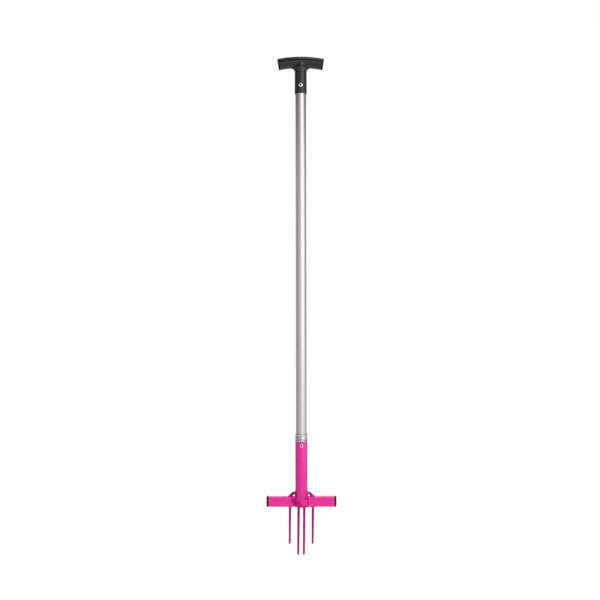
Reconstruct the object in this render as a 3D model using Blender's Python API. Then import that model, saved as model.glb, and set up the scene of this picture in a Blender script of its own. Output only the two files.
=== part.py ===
"""A t-handle weeder: a T-shaped grip, a tube shaft, and a welded head with a foot bar and four tines.

Metres, Z up. The origin lies on the shaft's axis in the plane of the head's underside, where the soil stops
the head. The shaft runs up +Z, the grip and the foot bar lie along X, and the rivets face -Y, the front.
All four tines stand in the XZ plane, and the tool is one rigid assembly.
"""

import math

import bmesh
import bpy
from mathutils import Vector

# Clearances
GAP = 0.0003                      # left between two pieces that touch
RIVET_HOLE_CLEARANCE = 0.0003     # on the radius, round each rivet's shank

# Shaft and socket
SHAFT_DIAMETER = 0.0254
SHAFT_WALL = 0.0012
SHAFT_SHOWING = 0.8144            # bare tube between the ferrule and the grip
SHAFT_IN_SOCKET = 0.0980
SHAFT_IN_GRIP = 0.0580
SOCKET_WALL = 0.0015
SOCKET_LENGTH = 0.1563

# Ferrule, the collar over the socket's mouth, with a rolled bead that runs down it in a spiral
FERRULE_LENGTH = 0.0176
FERRULE_WALL = 0.0011
FERRULE_LIP_RISE = 0.0003
FERRULE_LIP_HEIGHT = 0.0012
FERRULE_BEAD_RISE = 0.0009
FERRULE_BEAD_PITCH = 0.0108
FERRULE_BEAD_START = 0.0034       # below the ferrule's top, on the +X side

# Grip
GRIP_WIDTH = 0.1130
GRIP_BAR_DIAMETER = 0.0270
GRIP_ARCH_RADIUS = 0.2620
GRIP_END_LEAN = math.radians(9)   # tilt of each end face
GRIP_STEM_LENGTH = 0.0764         # stem's lower rim to the bar's axis
GRIP_STEM_WALL = 0.0013
GRIP_RIM_WALL = 0.0016
GRIP_FILLET = 0.0096              # where the stem spreads into the bar
GRIP_RIM_ROUNDING = 0.0010
GRIP_CAP_THICKNESS = 0.0030
GRIP_CAP_EDGE = 0.0013
GRIP_CAP_SPIGOT_DIAMETER = 0.0150
GRIP_CAP_SPIGOT_LENGTH = 0.0100

# Blind rivets, one through the grip and one through the socket
RIVET_FLANGE_DIAMETER = 0.0098
RIVET_FLANGE_THICKNESS = 0.0012
RIVET_FLANGE_EDGE = 0.0004        # thickness at the flange's rim
RIVET_FACE_DIAMETER = 0.0056      # flat middle of the domed flange
RIVET_SHANK_DIAMETER = 0.0048
RIVET_BULB_DIAMETER = 0.0066
RIVET_BULB_LENGTH = 0.0044
RIVET_BULB_CLEARANCE = 0.0006     # from the shaft's inner wall
MANDREL_DIAMETER = 0.0024
MANDREL_HEAD_DIAMETER = 0.0040
MANDREL_HEAD_LENGTH = 0.0016
MANDREL_RECESS = 0.0005           # below the flange's face, where the mandrel snapped
GRIP_RIVET_ABOVE_RIM = 0.0187
SOCKET_RIVET_BELOW_TOP = 0.0088

# Foot bar, two square pegs welded to the socket's sides
PEG_SIZE = 0.0234
PEG_WALL = 0.0020
PEG_CORNER = 0.0026
PEG_LENGTH = 0.0640
PEG_CAP_THICKNESS = 0.0045
PEG_CAP_EDGE = 0.0016
PEG_CAP_PLUG_LENGTH = 0.0120
FLOOR_PLATE_THICKNESS = 0.0050

# Tines
ROD_DIAMETER = 0.00635
TIP_DIAMETER = 0.0050
TIP_POINT_DIAMETER = 0.0024
TIP_POINT_LENGTH = 0.0028
TAPER_LENGTH = 0.0700
OUTER_TINE_OFFSET = 0.0275        # from the shaft's axis
OUTER_TINE_REACH = 0.0908         # below the underside
INNER_TINE_OFFSET = 0.0068
INNER_TINE_REACH = 0.1167
INNER_TINE_HEAD = 0.0030          # above the floor plate
BRACE_RISE = 0.0009               # from the peg's top to the corner of the first bend
BRACE_HEIGHT = 0.0081             # from the peg's top to the level run
BRACE_LEVEL_RUN = 0.0048          # from the socket's wall to the corner of the second bend
BRACE_BEND_RADIUS = 0.0050

# Welds
PEG_WELD_RADIUS = 0.0021
PEG_WELD_INSET = 0.0006           # from the peg's top and underside to the bead
PEG_WELD_SETBACK = 0.0020         # from the peg's end to the bead's upright run
PEG_WELD_TURN = 0.0034            # radius of the turn towards the socket
PEG_WELD_TAIL = 0.0008            # level run after the turn
PEG_WELD_STANDOFF = 0.0006        # from the peg's face to the bead's middle line
COLLAR_SPREAD = 0.0024            # how far a root weld spreads from its rod
COLLAR_HEIGHT = 0.0034
COLLAR_LIP = 0.0005
FOOT_WELD_LENGTH = 0.0122
FOOT_WELD_WIDTH = 0.0096
FOOT_WELD_HEIGHT = 0.0036
FOOT_WELD_SHIFT = 0.0011          # outwards from the tine
INNER_WELD_HEIGHT = 0.0022
WELD_END_TURN = math.radians(64)  # how far a bead or mound rounds over before its small flat end

# Facets
ROUND_SIDES = 40
BAR_SIDES = 32
ROD_SIDES = 16
BEAD_SIDES = 12
RIVET_SIDES = 20
FERRULE_SIDES = 48
FERRULE_STEPS = 12
GRIP_SLICES = 16
FILLET_STEPS = 6
DOME_STEPS = 4
CORNER_STEPS = 3
BEND_STEPS = 4
SMOOTH_ANGLE = math.radians(38)

# Places worked out from the sizes above
SHAFT_RADIUS = SHAFT_DIAMETER / 2
SHAFT_BORE_RADIUS = SHAFT_RADIUS - SHAFT_WALL
SLEEVE_RADIUS = SHAFT_RADIUS + GAP
SOCKET_RADIUS = SLEEVE_RADIUS + SOCKET_WALL
FERRULE_RADIUS = SLEEVE_RADIUS + FERRULE_WALL
GRIP_STEM_RADIUS = SLEEVE_RADIUS + GRIP_STEM_WALL
GRIP_RIM_RADIUS = SLEEVE_RADIUS + GRIP_RIM_WALL
FERRULE_BOTTOM = SOCKET_LENGTH + GAP
FERRULE_TOP = FERRULE_BOTTOM + FERRULE_LENGTH
GRIP_RIM = FERRULE_TOP + SHAFT_SHOWING
GRIP_AXIS = GRIP_RIM + GRIP_STEM_LENGTH
SHAFT_BOTTOM = SOCKET_LENGTH - SHAFT_IN_SOCKET
SHAFT_TOP = GRIP_RIM + SHAFT_IN_GRIP
GRIP_BAR_RADIUS = GRIP_BAR_DIAMETER / 2
PEG_START = SOCKET_RADIUS + GAP
PEG_END = PEG_START + PEG_LENGTH
ROD_RADIUS = ROD_DIAMETER / 2
BRACE_LEVEL = PEG_SIZE + BRACE_HEIGHT
GRIP_RIVET_HEIGHT = GRIP_RIM + GRIP_RIVET_ABOVE_RIM
SOCKET_RIVET_HEIGHT = SOCKET_LENGTH - SOCKET_RIVET_BELOW_TOP
RIVET_HOLE_RADIUS = RIVET_SHANK_DIAMETER / 2 + RIVET_HOLE_CLEARANCE

SIDES = ((-1, "left"), (1, "right"))
UP = Vector((0, 0, 1))
DEEP = Vector((0, 1, 0))


def clear_scene():
    """Removes whatever the file held before."""
    for thing in list(bpy.data.objects):
        bpy.data.objects.remove(thing, do_unlink=True)


def make_material(name, colour, roughness, metallic):
    """A Principled material in a linear colour."""
    material = bpy.data.materials.new(name)
    material.use_nodes = True
    shader = material.node_tree.nodes["Principled BSDF"]
    shader.inputs["Base Color"].default_value = (*colour, 1.0)
    shader.inputs["Roughness"].default_value = roughness
    shader.inputs["Metallic"].default_value = metallic
    material.diffuse_color = (*colour, 1.0)
    return material


def make_object(name, bm, material):
    """Turns a bmesh into a named object with faces out and smooth round sides."""
    bmesh.ops.recalc_face_normals(bm, faces=bm.faces)
    mesh = bpy.data.meshes.new(name)
    bm.to_mesh(mesh)
    bm.free()
    mesh.shade_smooth()
    mesh.set_sharp_from_angle(angle=SMOOTH_ANGLE)
    if material:
        mesh.materials.append(material)
    thing = bpy.data.objects.new(name, mesh)
    bpy.context.scene.collection.objects.link(thing)
    return thing


def combine(target, tool, operation):
    """Cuts, or joins, one object with another that stays behind as a guide."""
    tool.hide_render = True
    tool.display_type = "WIRE"
    step = target.modifiers.new(f"{operation.lower()} {tool.name}", "BOOLEAN")
    step.operation = operation
    step.solver = "EXACT"
    step.object = tool
    return target


def add_loft(bm, rings, closed=False):
    """Joins rings of points, all of one length, into a skin: capped at both ends, or closed on itself."""
    loops = [[bm.verts.new(point) for point in ring] for ring in rings]
    pairs = list(zip(loops, loops[1:]))
    if closed:
        pairs.append((loops[-1], loops[0]))
    for lower, upper in pairs:
        for i in range(len(lower)):
            j = (i + 1) % len(lower)
            bm.faces.new((lower[i], lower[j], upper[j], upper[i]))
    if not closed:
        bm.faces.new(loops[0])
        bm.faces.new(loops[-1])
    return bm


def loft_object(name, rings, material, closed=False):
    return make_object(name, add_loft(bmesh.new(), rings, closed), material)


def turns(sides):
    """The angles of a round piece's sides."""
    return [math.tau * i / sides for i in range(sides)]


def round_ring(radius, height, sides):
    """A level circle round the shaft's axis."""
    return [Vector((radius * math.cos(a), radius * math.sin(a), height)) for a in turns(sides)]


def tube_rings(outer, inner, low, high, sides=ROUND_SIDES):
    """The closed profile of a plain tube round the shaft's axis."""
    corners = ((outer, low), (outer, high), (inner, high), (inner, low))
    return [round_ring(radius, height, sides) for radius, height in corners]


def rod_ring(centre, direction, radius, sides=ROD_SIDES):
    """A circle square to a direction in the XZ plane."""
    across = Vector((direction.z, 0, -direction.x))
    return [centre + radius * (math.cos(a) * across + math.sin(a) * DEEP) for a in turns(sides)]


def quarter_turn(steps):
    """Sine and cosine at even steps from 0 to a right angle, for round edges and fillets."""
    return [(math.sin(math.pi / 2 * i / steps), math.cos(math.pi / 2 * i / steps)) for i in range(steps + 1)]


def round_end():
    """How far a weld's rounded end has run on, and how wide it still is, as shares of its radius."""
    angles = [WELD_END_TURN * i / CORNER_STEPS for i in range(CORNER_STEPS + 1)]
    return [(math.sin(a), math.cos(a)) for a in angles]


def mirror_points(rings, side):
    """Copies rings to one side of the shaft: side is 1 for +X and -1 for -X."""
    return [[Vector((side * p.x, p.y, p.z)) for p in ring] for ring in rings]


def cut_rivet_hole(target, height):
    """Drills a rivet's hole through the front wall at a height."""
    reaches = (SHAFT_DIAMETER, SHAFT_BORE_RADIUS / 2)
    rings = [rivet_ring(RIVET_HOLE_RADIUS, forward, height) for forward in reaches]
    place = "grip" if height > FERRULE_TOP else "socket"
    combine(target, loft_object(f"{target.name} hole {place}", rings, None), "DIFFERENCE")


# Shaft, socket and ferrule

def build_shaft(material):
    rings = tube_rings(SHAFT_RADIUS, SHAFT_BORE_RADIUS, SHAFT_BOTTOM, SHAFT_TOP)
    shaft = loft_object("shaft_tube", rings, material, closed=True)
    for height in (GRIP_RIVET_HEIGHT, SOCKET_RIVET_HEIGHT):
        cut_rivet_hole(shaft, height)


def build_socket(material):
    rings = tube_rings(SOCKET_RADIUS, SLEEVE_RADIUS, 0.0, SOCKET_LENGTH)
    socket = loft_object("socket_tube", rings, material, closed=True)
    cut_rivet_hole(socket, SOCKET_RIVET_HEIGHT)


def ferrule_radius(height, angle):
    """The collar's outer radius: a lip at each end, and the spiral bead fading out towards them."""
    from_end = min(height - FERRULE_BOTTOM, FERRULE_TOP - height)
    if from_end < FERRULE_LIP_HEIGHT:
        return FERRULE_RADIUS + FERRULE_LIP_RISE * math.sqrt(1 - (from_end / FERRULE_LIP_HEIGHT) ** 2)
    crest = FERRULE_TOP - FERRULE_BEAD_START - FERRULE_BEAD_PITCH * angle / math.tau
    wave = 0.5 + 0.5 * math.cos(math.tau * (height - crest) / FERRULE_BEAD_PITCH)
    fade = min(1.0, (from_end - FERRULE_LIP_HEIGHT) / FERRULE_LIP_HEIGHT)
    return FERRULE_RADIUS + FERRULE_BEAD_RISE * fade * wave ** 2


def build_ferrule(material):
    low = FERRULE_BOTTOM + FERRULE_LIP_HEIGHT
    high = FERRULE_TOP - FERRULE_LIP_HEIGHT
    heights = [FERRULE_BOTTOM + FERRULE_LIP_HEIGHT * i / CORNER_STEPS for i in range(CORNER_STEPS)]
    heights += [low + (high - low) * i / FERRULE_STEPS for i in range(FERRULE_STEPS)]
    heights += [high + FERRULE_LIP_HEIGHT * i / CORNER_STEPS for i in range(CORNER_STEPS + 1)]
    rings = []
    for height in heights:
        ring = []
        for angle in turns(FERRULE_SIDES):
            radius = ferrule_radius(height, angle)
            ring.append(Vector((radius * math.cos(angle), radius * math.sin(angle), height)))
        rings.append(ring)
    rings.append(round_ring(SLEEVE_RADIUS, FERRULE_TOP, FERRULE_SIDES))
    rings.append(round_ring(SLEEVE_RADIUS, FERRULE_BOTTOM, FERRULE_SIDES))
    loft_object("ferrule", rings, material, closed=True)


# Grip

def grip_end_angle():
    """Half the arch's angle, to the joint between the bar and its end cap."""
    reach = GRIP_WIDTH / 2 - GRIP_CAP_THICKNESS - GRIP_BAR_RADIUS * math.sin(GRIP_END_LEAN)
    return math.asin(reach / GRIP_ARCH_RADIUS)


def grip_slice(share):
    """A point of the arched bar's axis and its slice's upward direction, for a share from -1 to 1."""
    angle = share * grip_end_angle()
    lean = share * GRIP_END_LEAN
    drop = GRIP_ARCH_RADIUS * (1 - math.cos(angle))
    centre = Vector((GRIP_ARCH_RADIUS * math.sin(angle), 0, GRIP_AXIS - drop))
    return centre, Vector((math.sin(lean), 0, math.cos(lean)))


def slice_ring(centre, up, radius, sides=BAR_SIDES):
    """A circle round the arched bar's axis, in the plane of one of its slices."""
    return [centre + radius * (math.cos(a) * up + math.sin(a) * DEEP) for a in turns(sides)]


def grip_stem_rings():
    """The stem from its rim upwards: it spreads sideways in the fillets and closes over inside the bar."""
    shoulder = GRIP_STEM_RADIUS + GRIP_FILLET
    underside = GRIP_AXIS - GRIP_BAR_RADIUS - shoulder ** 2 / (2 * GRIP_ARCH_RADIUS)
    stations = []
    for sine, cosine in quarter_turn(CORNER_STEPS):
        radius = GRIP_RIM_RADIUS - GRIP_RIM_ROUNDING * (1 - sine)
        stations.append((GRIP_RIM + GRIP_RIM_ROUNDING * (1 - cosine), radius, radius))
    for sine, cosine in quarter_turn(FILLET_STEPS):
        wide = GRIP_STEM_RADIUS + GRIP_FILLET * (1 - cosine)
        stations.append((underside - GRIP_FILLET * (1 - sine), wide, GRIP_STEM_RADIUS))
    for sine, cosine in quarter_turn(DOME_STEPS)[1:-1]:
        height = underside + (GRIP_AXIS - underside) * sine
        stations.append((height, shoulder * cosine, GRIP_STEM_RADIUS * cosine))
    rings = []
    for height, wide, deep in stations:
        rings.append([Vector((wide * math.cos(a), deep * math.sin(a), height)) for a in turns(ROUND_SIDES)])
    return rings


def grip_cap_frame(side):
    """The middle of the joint between the bar and its cap, with the joint's upward and outward directions."""
    centre, up = grip_slice(side)
    outward = side * Vector((up.z, 0, -up.x))
    return centre, up, outward


def build_grip_body(material):
    shares = [2 * i / GRIP_SLICES - 1 for i in range(GRIP_SLICES + 1)]
    bar_rings = [slice_ring(*grip_slice(share), GRIP_BAR_RADIUS) for share in shares]
    body = loft_object("grip_body", bar_rings, material)
    combine(body, loft_object("grip stem", grip_stem_rings(), None), "UNION")
    bore_ends = (GRIP_RIM - GRIP_FILLET, SHAFT_TOP + GAP)
    bore = [round_ring(SLEEVE_RADIUS, height, ROUND_SIDES) for height in bore_ends]
    combine(body, loft_object("grip bore", bore, None), "DIFFERENCE")
    for side, word in SIDES:
        centre, up, outward = grip_cap_frame(side)
        radius = GRIP_CAP_SPIGOT_DIAMETER / 2 + GAP
        rings = [slice_ring(centre + outward * along, up, radius)
                 for along in (GRIP_CAP_THICKNESS, -GRIP_CAP_SPIGOT_LENGTH - GAP)]
        combine(body, loft_object(f"grip pocket {word}", rings, None), "DIFFERENCE")
    cut_rivet_hole(body, GRIP_RIVET_HEIGHT)


def build_grip_caps(material):
    """Each cap is a disc with a rounded outer edge, on a spigot that plugs into the bar."""
    for side, word in SIDES:
        centre, up, outward = grip_cap_frame(side)
        spigot = GRIP_CAP_SPIGOT_DIAMETER / 2
        stations = [(-GRIP_CAP_SPIGOT_LENGTH, spigot - GAP), (GAP, spigot), (GAP, GRIP_BAR_RADIUS)]
        for sine, cosine in quarter_turn(CORNER_STEPS):
            stations.append((GRIP_CAP_THICKNESS - GRIP_CAP_EDGE * (1 - sine),
                             GRIP_BAR_RADIUS - GRIP_CAP_EDGE * (1 - cosine)))
        rings = [slice_ring(centre + outward * along, up, radius) for along, radius in stations]
        loft_object(f"grip_end_cap_{word}", rings, material)


# Rivets

def saddle_depth(x, radius):
    """How far forward a round tube's surface lies at a distance from its middle line."""
    return math.sqrt(radius ** 2 - x ** 2)


def rivet_ring(radius, forward, height, seat=None):
    """A circle round a rivet's axis, in a plane, or lying on a round tube of the seat's radius."""
    ring = []
    for a in turns(RIVET_SIDES):
        x = radius * math.cos(a)
        reach = saddle_depth(x, seat) if seat else forward
        ring.append(Vector((x, -reach, height + radius * math.sin(a))))
    return ring


def build_rivet(place, height, tube_radius, rivet_material, mandrel_material):
    """A blind rivet's body, set through the outer tube and the shaft, and the mandrel left inside it."""
    seat = tube_radius + GAP
    face = seat + RIVET_FLANGE_THICKNESS
    shoulder = SHAFT_BORE_RADIUS - RIVET_BULB_CLEARANCE
    bulb_end = shoulder - RIVET_BULB_LENGTH
    flange = RIVET_FLANGE_DIAMETER / 2
    flat = RIVET_FACE_DIAMETER / 2
    shank = RIVET_SHANK_DIAMETER / 2
    bulb = RIVET_BULB_DIAMETER / 2
    bore = MANDREL_DIAMETER / 2 + GAP
    slope = bulb - shank
    rings = [rivet_ring(bore, face, height)]
    for sine, cosine in quarter_turn(CORNER_STEPS):
        forward = seat + RIVET_FLANGE_EDGE + (RIVET_FLANGE_THICKNESS - RIVET_FLANGE_EDGE) * cosine
        rings.append(rivet_ring(flat + (flange - flat) * sine, forward, height))
    rings += [rivet_ring(flange, seat, height, seat),
              rivet_ring(shank, seat, height, seat),
              rivet_ring(shank, shoulder, height),
              rivet_ring(bulb, shoulder - slope, height),
              rivet_ring(bulb, bulb_end + slope, height),
              rivet_ring(shank, bulb_end, height),
              rivet_ring(bore, bulb_end, height)]
    loft_object(f"{place}_rivet_body", rings, rivet_material, closed=True)
    pin = MANDREL_DIAMETER / 2
    head = MANDREL_HEAD_DIAMETER / 2
    head_start = bulb_end - GAP
    rings = [rivet_ring(pin, face - MANDREL_RECESS, height),
             rivet_ring(pin, head_start, height),
             rivet_ring(head, head_start, height),
             rivet_ring(head, head_start - MANDREL_HEAD_LENGTH, height)]
    loft_object(f"{place}_rivet_mandrel", rings, mandrel_material)


# Foot bar

def square_ring(size, corner, x):
    """A square with round corners in the YZ plane, standing on the underside, at a distance along the bar."""
    ring = []
    half = size / 2 - corner
    for quarter, (y_sign, z_sign) in enumerate(((1, 1), (-1, 1), (-1, -1), (1, -1))):
        for i in range(CORNER_STEPS + 1):
            turn = math.pi / 2 * (quarter + i / CORNER_STEPS)
            ring.append(Vector((x, y_sign * half + corner * math.cos(turn),
                                PEG_SIZE / 2 + z_sign * half + corner * math.sin(turn))))
    return ring


def tine_radius(depth, reach):
    """A tine's radius at a depth below the underside: plain rod, a long taper, then the blunt point."""
    from_tip = reach - depth
    if from_tip < TIP_POINT_LENGTH:
        share = from_tip / TIP_POINT_LENGTH
        return (TIP_POINT_DIAMETER + (TIP_DIAMETER - TIP_POINT_DIAMETER) * math.sqrt(share)) / 2
    share = min(1.0, (from_tip - TIP_POINT_LENGTH) / TAPER_LENGTH)
    return (TIP_DIAMETER + (ROD_DIAMETER - TIP_DIAMETER) * share) / 2


def tine_stations(reach):
    """Depths below the underside where a tine's outline changes, from the tip up."""
    point = [reach - TIP_POINT_LENGTH * (i / CORNER_STEPS) ** 2 for i in range(CORNER_STEPS + 1)]
    return point + [reach - TIP_POINT_LENGTH - TAPER_LENGTH]


def brace_corners():
    """Where an outer tine's upright, sloping and level runs meet on the +X side, and where it ends."""
    low = Vector((OUTER_TINE_OFFSET, 0, PEG_SIZE + BRACE_RISE))
    high = Vector((PEG_START + BRACE_LEVEL_RUN, 0, BRACE_LEVEL))
    end = Vector((PEG_START, 0, BRACE_LEVEL))
    return low, high, end


def bend_stations(before, corner, after):
    """Points and directions round a bend between two straight runs."""
    into = (corner - before).normalized()
    out = (after - corner).normalized()
    angle = into.angle(out)
    trim = BRACE_BEND_RADIUS * math.tan(angle / 2)
    start = corner - into * trim
    normal = (out - into * into.dot(out)).normalized()
    centre = start + normal * BRACE_BEND_RADIUS
    stations = []
    for i in range(BEND_STEPS + 1):
        turn = angle * i / BEND_STEPS
        point = centre + BRACE_BEND_RADIUS * (into * math.sin(turn) - normal * math.cos(turn))
        stations.append((point, into * math.cos(turn) + normal * math.sin(turn)))
    return stations


def outer_tine_rings(extra=0.0):
    """The whole outer tine on the +X side, from its tip to the socket, thickened all round by extra."""
    rings = []
    for depth in tine_stations(OUTER_TINE_REACH):
        radius = tine_radius(depth, OUTER_TINE_REACH) + extra
        rings.append(rod_ring(Vector((OUTER_TINE_OFFSET, 0, -depth)), UP, radius))
    low, high, end = brace_corners()
    foot = Vector((OUTER_TINE_OFFSET, 0, 0))
    for before, corner, after in ((foot, low, high), (low, high, end)):
        for point, direction in bend_stations(before, corner, after):
            rings.append(rod_ring(point, direction, ROD_RADIUS + extra))
    rings.append(socket_end_ring(ROD_RADIUS + extra, extra))
    return rings


def socket_end_ring(radius, sink):
    """The ring of a brace's end, shaped to the socket's round wall and sunk towards it."""
    ring = []
    for point in rod_ring(Vector((0, 0, BRACE_LEVEL)), Vector((-1, 0, 0)), radius):
        ring.append(Vector((saddle_depth(point.y, PEG_START) - sink, point.y, point.z)))
    return ring


def build_foot_bar(steel, plastic):
    for side, word in SIDES:
        bore = PEG_SIZE - 2 * PEG_WALL
        bore_corner = max(PEG_CORNER - PEG_WALL, GAP)
        rings = [square_ring(PEG_SIZE, PEG_CORNER, PEG_START), square_ring(PEG_SIZE, PEG_CORNER, PEG_END),
                 square_ring(bore, bore_corner, PEG_END), square_ring(bore, bore_corner, PEG_START)]
        peg = loft_object(f"foot_peg_{word}", mirror_points(rings, side), steel, closed=True)
        path = mirror_points(outer_tine_rings(GAP), side)
        combine(peg, loft_object(f"peg hole {word}", path, None), "DIFFERENCE")
        build_peg_cap(side, word, plastic)


def build_peg_cap(side, word, material):
    """A push-in plug for a peg's open end, with a rounded outer edge."""
    plug = PEG_SIZE - 2 * PEG_WALL - 2 * GAP
    plug_corner = max(PEG_CORNER - PEG_WALL, GAP)
    start = PEG_END + GAP
    finish = start + PEG_CAP_THICKNESS
    rings = [square_ring(plug - 2 * GAP, plug_corner, PEG_END - PEG_CAP_PLUG_LENGTH),
             square_ring(plug, plug_corner, PEG_END - PEG_CAP_PLUG_LENGTH + 2 * GAP),
             square_ring(plug, plug_corner, start),
             square_ring(PEG_SIZE, PEG_CORNER, start)]
    for sine, cosine in quarter_turn(CORNER_STEPS):
        shrink = PEG_CAP_EDGE * (1 - cosine)
        along = finish - PEG_CAP_EDGE * (1 - sine)
        rings.append(square_ring(PEG_SIZE - 2 * shrink, PEG_CORNER - shrink, along))
    loft_object(f"peg_end_cap_{word}", mirror_points(rings, side), material)


# Tines and floor plate

def build_outer_tines(material):
    for side, word in SIDES:
        loft_object(f"outer_tine_{word}", mirror_points(outer_tine_rings(), side), material)


def build_inner_tines(material):
    for side, word in SIDES:
        depths = tine_stations(INNER_TINE_REACH)
        stations = [(-depth, tine_radius(depth, INNER_TINE_REACH)) for depth in depths]
        stations.append((FLOOR_PLATE_THICKNESS + INNER_TINE_HEAD, ROD_RADIUS))
        rings = [rod_ring(Vector((INNER_TINE_OFFSET, 0, height)), UP, radius) for height, radius in stations]
        loft_object(f"inner_tine_{word}", mirror_points(rings, side), material)


def build_floor_plate(material):
    """The disc that closes the socket's foot and holds the inner tines."""
    rings = [round_ring(SLEEVE_RADIUS - GAP, height, ROUND_SIDES) for height in (0.0, FLOOR_PLATE_THICKNESS)]
    plate = loft_object("floor_plate", rings, material)
    for side, word in SIDES:
        centre = Vector((side * INNER_TINE_OFFSET, 0, 0))
        hole = [rod_ring(centre + UP * along, UP, ROD_RADIUS + GAP)
                for along in (-FLOOR_PLATE_THICKNESS, 2 * FLOOR_PLATE_THICKNESS)]
        combine(plate, loft_object(f"floor hole {word}", hole, None), "DIFFERENCE")


# Welds

def collar_rings(centre, along, height, spread):
    """A hollow-sided fillet round a rod: widest at the face that it stands on, thin where it ends."""
    inner = ROD_RADIUS + GAP
    lip = inner + min(COLLAR_LIP, spread)
    stations = [(0.0, inner)]
    for sine, cosine in quarter_turn(BEND_STEPS):
        stations.append((height * (1 - cosine), lip + (inner + spread - lip) * (1 - sine)))
    stations.append((height, inner))
    return [rod_ring(centre + along * reach, along, radius) for reach, radius in stations]


def inner_collar_spread():
    """An inner tine's fillets stop short of its neighbour's, and of the socket's wall."""
    to_neighbour = INNER_TINE_OFFSET - ROD_RADIUS - 2 * GAP
    to_wall = SLEEVE_RADIUS - INNER_TINE_OFFSET - ROD_RADIUS - 2 * GAP
    return min(COLLAR_SPREAD, to_neighbour, to_wall)


def build_tine_welds(material):
    """The fillet under the head round each tine, and those on top of the floor plate, inside the socket."""
    spreads = {"outer": COLLAR_SPREAD, "inner": inner_collar_spread()}
    offsets = {"outer": OUTER_TINE_OFFSET, "inner": INNER_TINE_OFFSET}
    for side, word in SIDES:
        for place in ("outer", "inner"):
            centre = Vector((side * offsets[place], 0, -GAP))
            rings = collar_rings(centre, -UP, COLLAR_HEIGHT, spreads[place])
            loft_object(f"{place}_tine_weld_{word}", rings, material, closed=True)
        centre = Vector((side * INNER_TINE_OFFSET, 0, FLOOR_PLATE_THICKNESS + GAP))
        rings = collar_rings(centre, UP, INNER_WELD_HEIGHT, spreads["inner"])
        loft_object(f"floor_plate_weld_{word}", rings, material, closed=True)


def build_brace_root_welds(material):
    """The fillet round each brace's end, shaped to the socket's wall and ending short of the bend."""
    low, high, end = brace_corners()
    bend_start, _ = bend_stations(low, high, end)[-1]
    height = min(COLLAR_HEIGHT, bend_start.x - PEG_START - 2 * GAP)
    spread = min(COLLAR_SPREAD, BRACE_HEIGHT - ROD_RADIUS - 2 * GAP)
    for side, word in SIDES:
        rings = collar_rings(Vector((0, 0, BRACE_LEVEL)), Vector((1, 0, 0)), height, spread)
        for ring in rings:
            for point in ring:
                point.x += saddle_depth(point.y, PEG_START) + GAP
        loft_object(f"brace_root_weld_{word}", mirror_points(rings, side), material, closed=True)


def build_brace_foot_welds(material):
    """The mound of weld round each outer tine where it leaves the peg's top."""
    for side, word in SIDES:
        rings = []
        for rise, close in round_end():
            centre = OUTER_TINE_OFFSET + FOOT_WELD_SHIFT
            rings.append([Vector((centre + FOOT_WELD_LENGTH / 2 * close * math.cos(a),
                                  FOOT_WELD_WIDTH / 2 * close * math.sin(a),
                                  PEG_SIZE + GAP + FOOT_WELD_HEIGHT * rise)) for a in turns(RIVET_SIDES)])
        weld = loft_object(f"brace_foot_weld_{word}", mirror_points(rings, side), material)
        path = mirror_points(outer_tine_rings(GAP), side)
        combine(weld, loft_object(f"foot weld hole {word}", path, None), "DIFFERENCE")


def peg_weld_stations():
    """The bead's path on the +X side: down near the peg's end, then round towards the socket at the foot."""
    x = PEG_START + PEG_WELD_SETBACK
    foot = PEG_WELD_INSET + PEG_WELD_RADIUS
    turn_centre = Vector((x - PEG_WELD_TURN, 0, foot + PEG_WELD_TURN))
    top = Vector((x, 0, PEG_SIZE - PEG_WELD_INSET - PEG_WELD_RADIUS))
    stations = [(top + UP * PEG_WELD_RADIUS * ahead, -UP, close) for ahead, close in reversed(round_end())]
    for sine, cosine in quarter_turn(BEND_STEPS):
        point = turn_centre + PEG_WELD_TURN * Vector((cosine, 0, -sine))
        stations.append((point, Vector((-sine, 0, -cosine)), 1.0))
    last, heading, _ = stations[-1]
    end = last + heading * PEG_WELD_TAIL
    stations += [(end + heading * PEG_WELD_RADIUS * ahead, heading, close) for ahead, close in round_end()]
    return stations


def build_peg_welds(material):
    """The hooked beads in front of and behind each joint between a peg and the socket."""
    out = PEG_SIZE / 2 + PEG_WELD_STANDOFF
    for side, word in SIDES:
        for front, place in ((-1, "front"), (1, "back")):
            name = f"peg_weld_{word}_{place}"
            rings = [rod_ring(point + DEEP * front * out, direction, PEG_WELD_RADIUS * close, BEAD_SIDES)
                     for point, direction, close in peg_weld_stations()]
            weld = loft_object(name, mirror_points(rings, side), material)
            peg_space = [square_ring(PEG_SIZE + 2 * GAP, PEG_CORNER + GAP, along)
                         for along in (PEG_START - GAP, PEG_END)]
            peg_space = mirror_points(peg_space, side)
            combine(weld, loft_object(f"{name} peg space", peg_space, None), "DIFFERENCE")
            socket_space = [round_ring(SOCKET_RADIUS + 2 * GAP, height, ROUND_SIDES)
                            for height in (-PEG_SIZE, 2 * PEG_SIZE)]
            combine(weld, loft_object(f"{name} socket space", socket_space, None), "DIFFERENCE")


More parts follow.
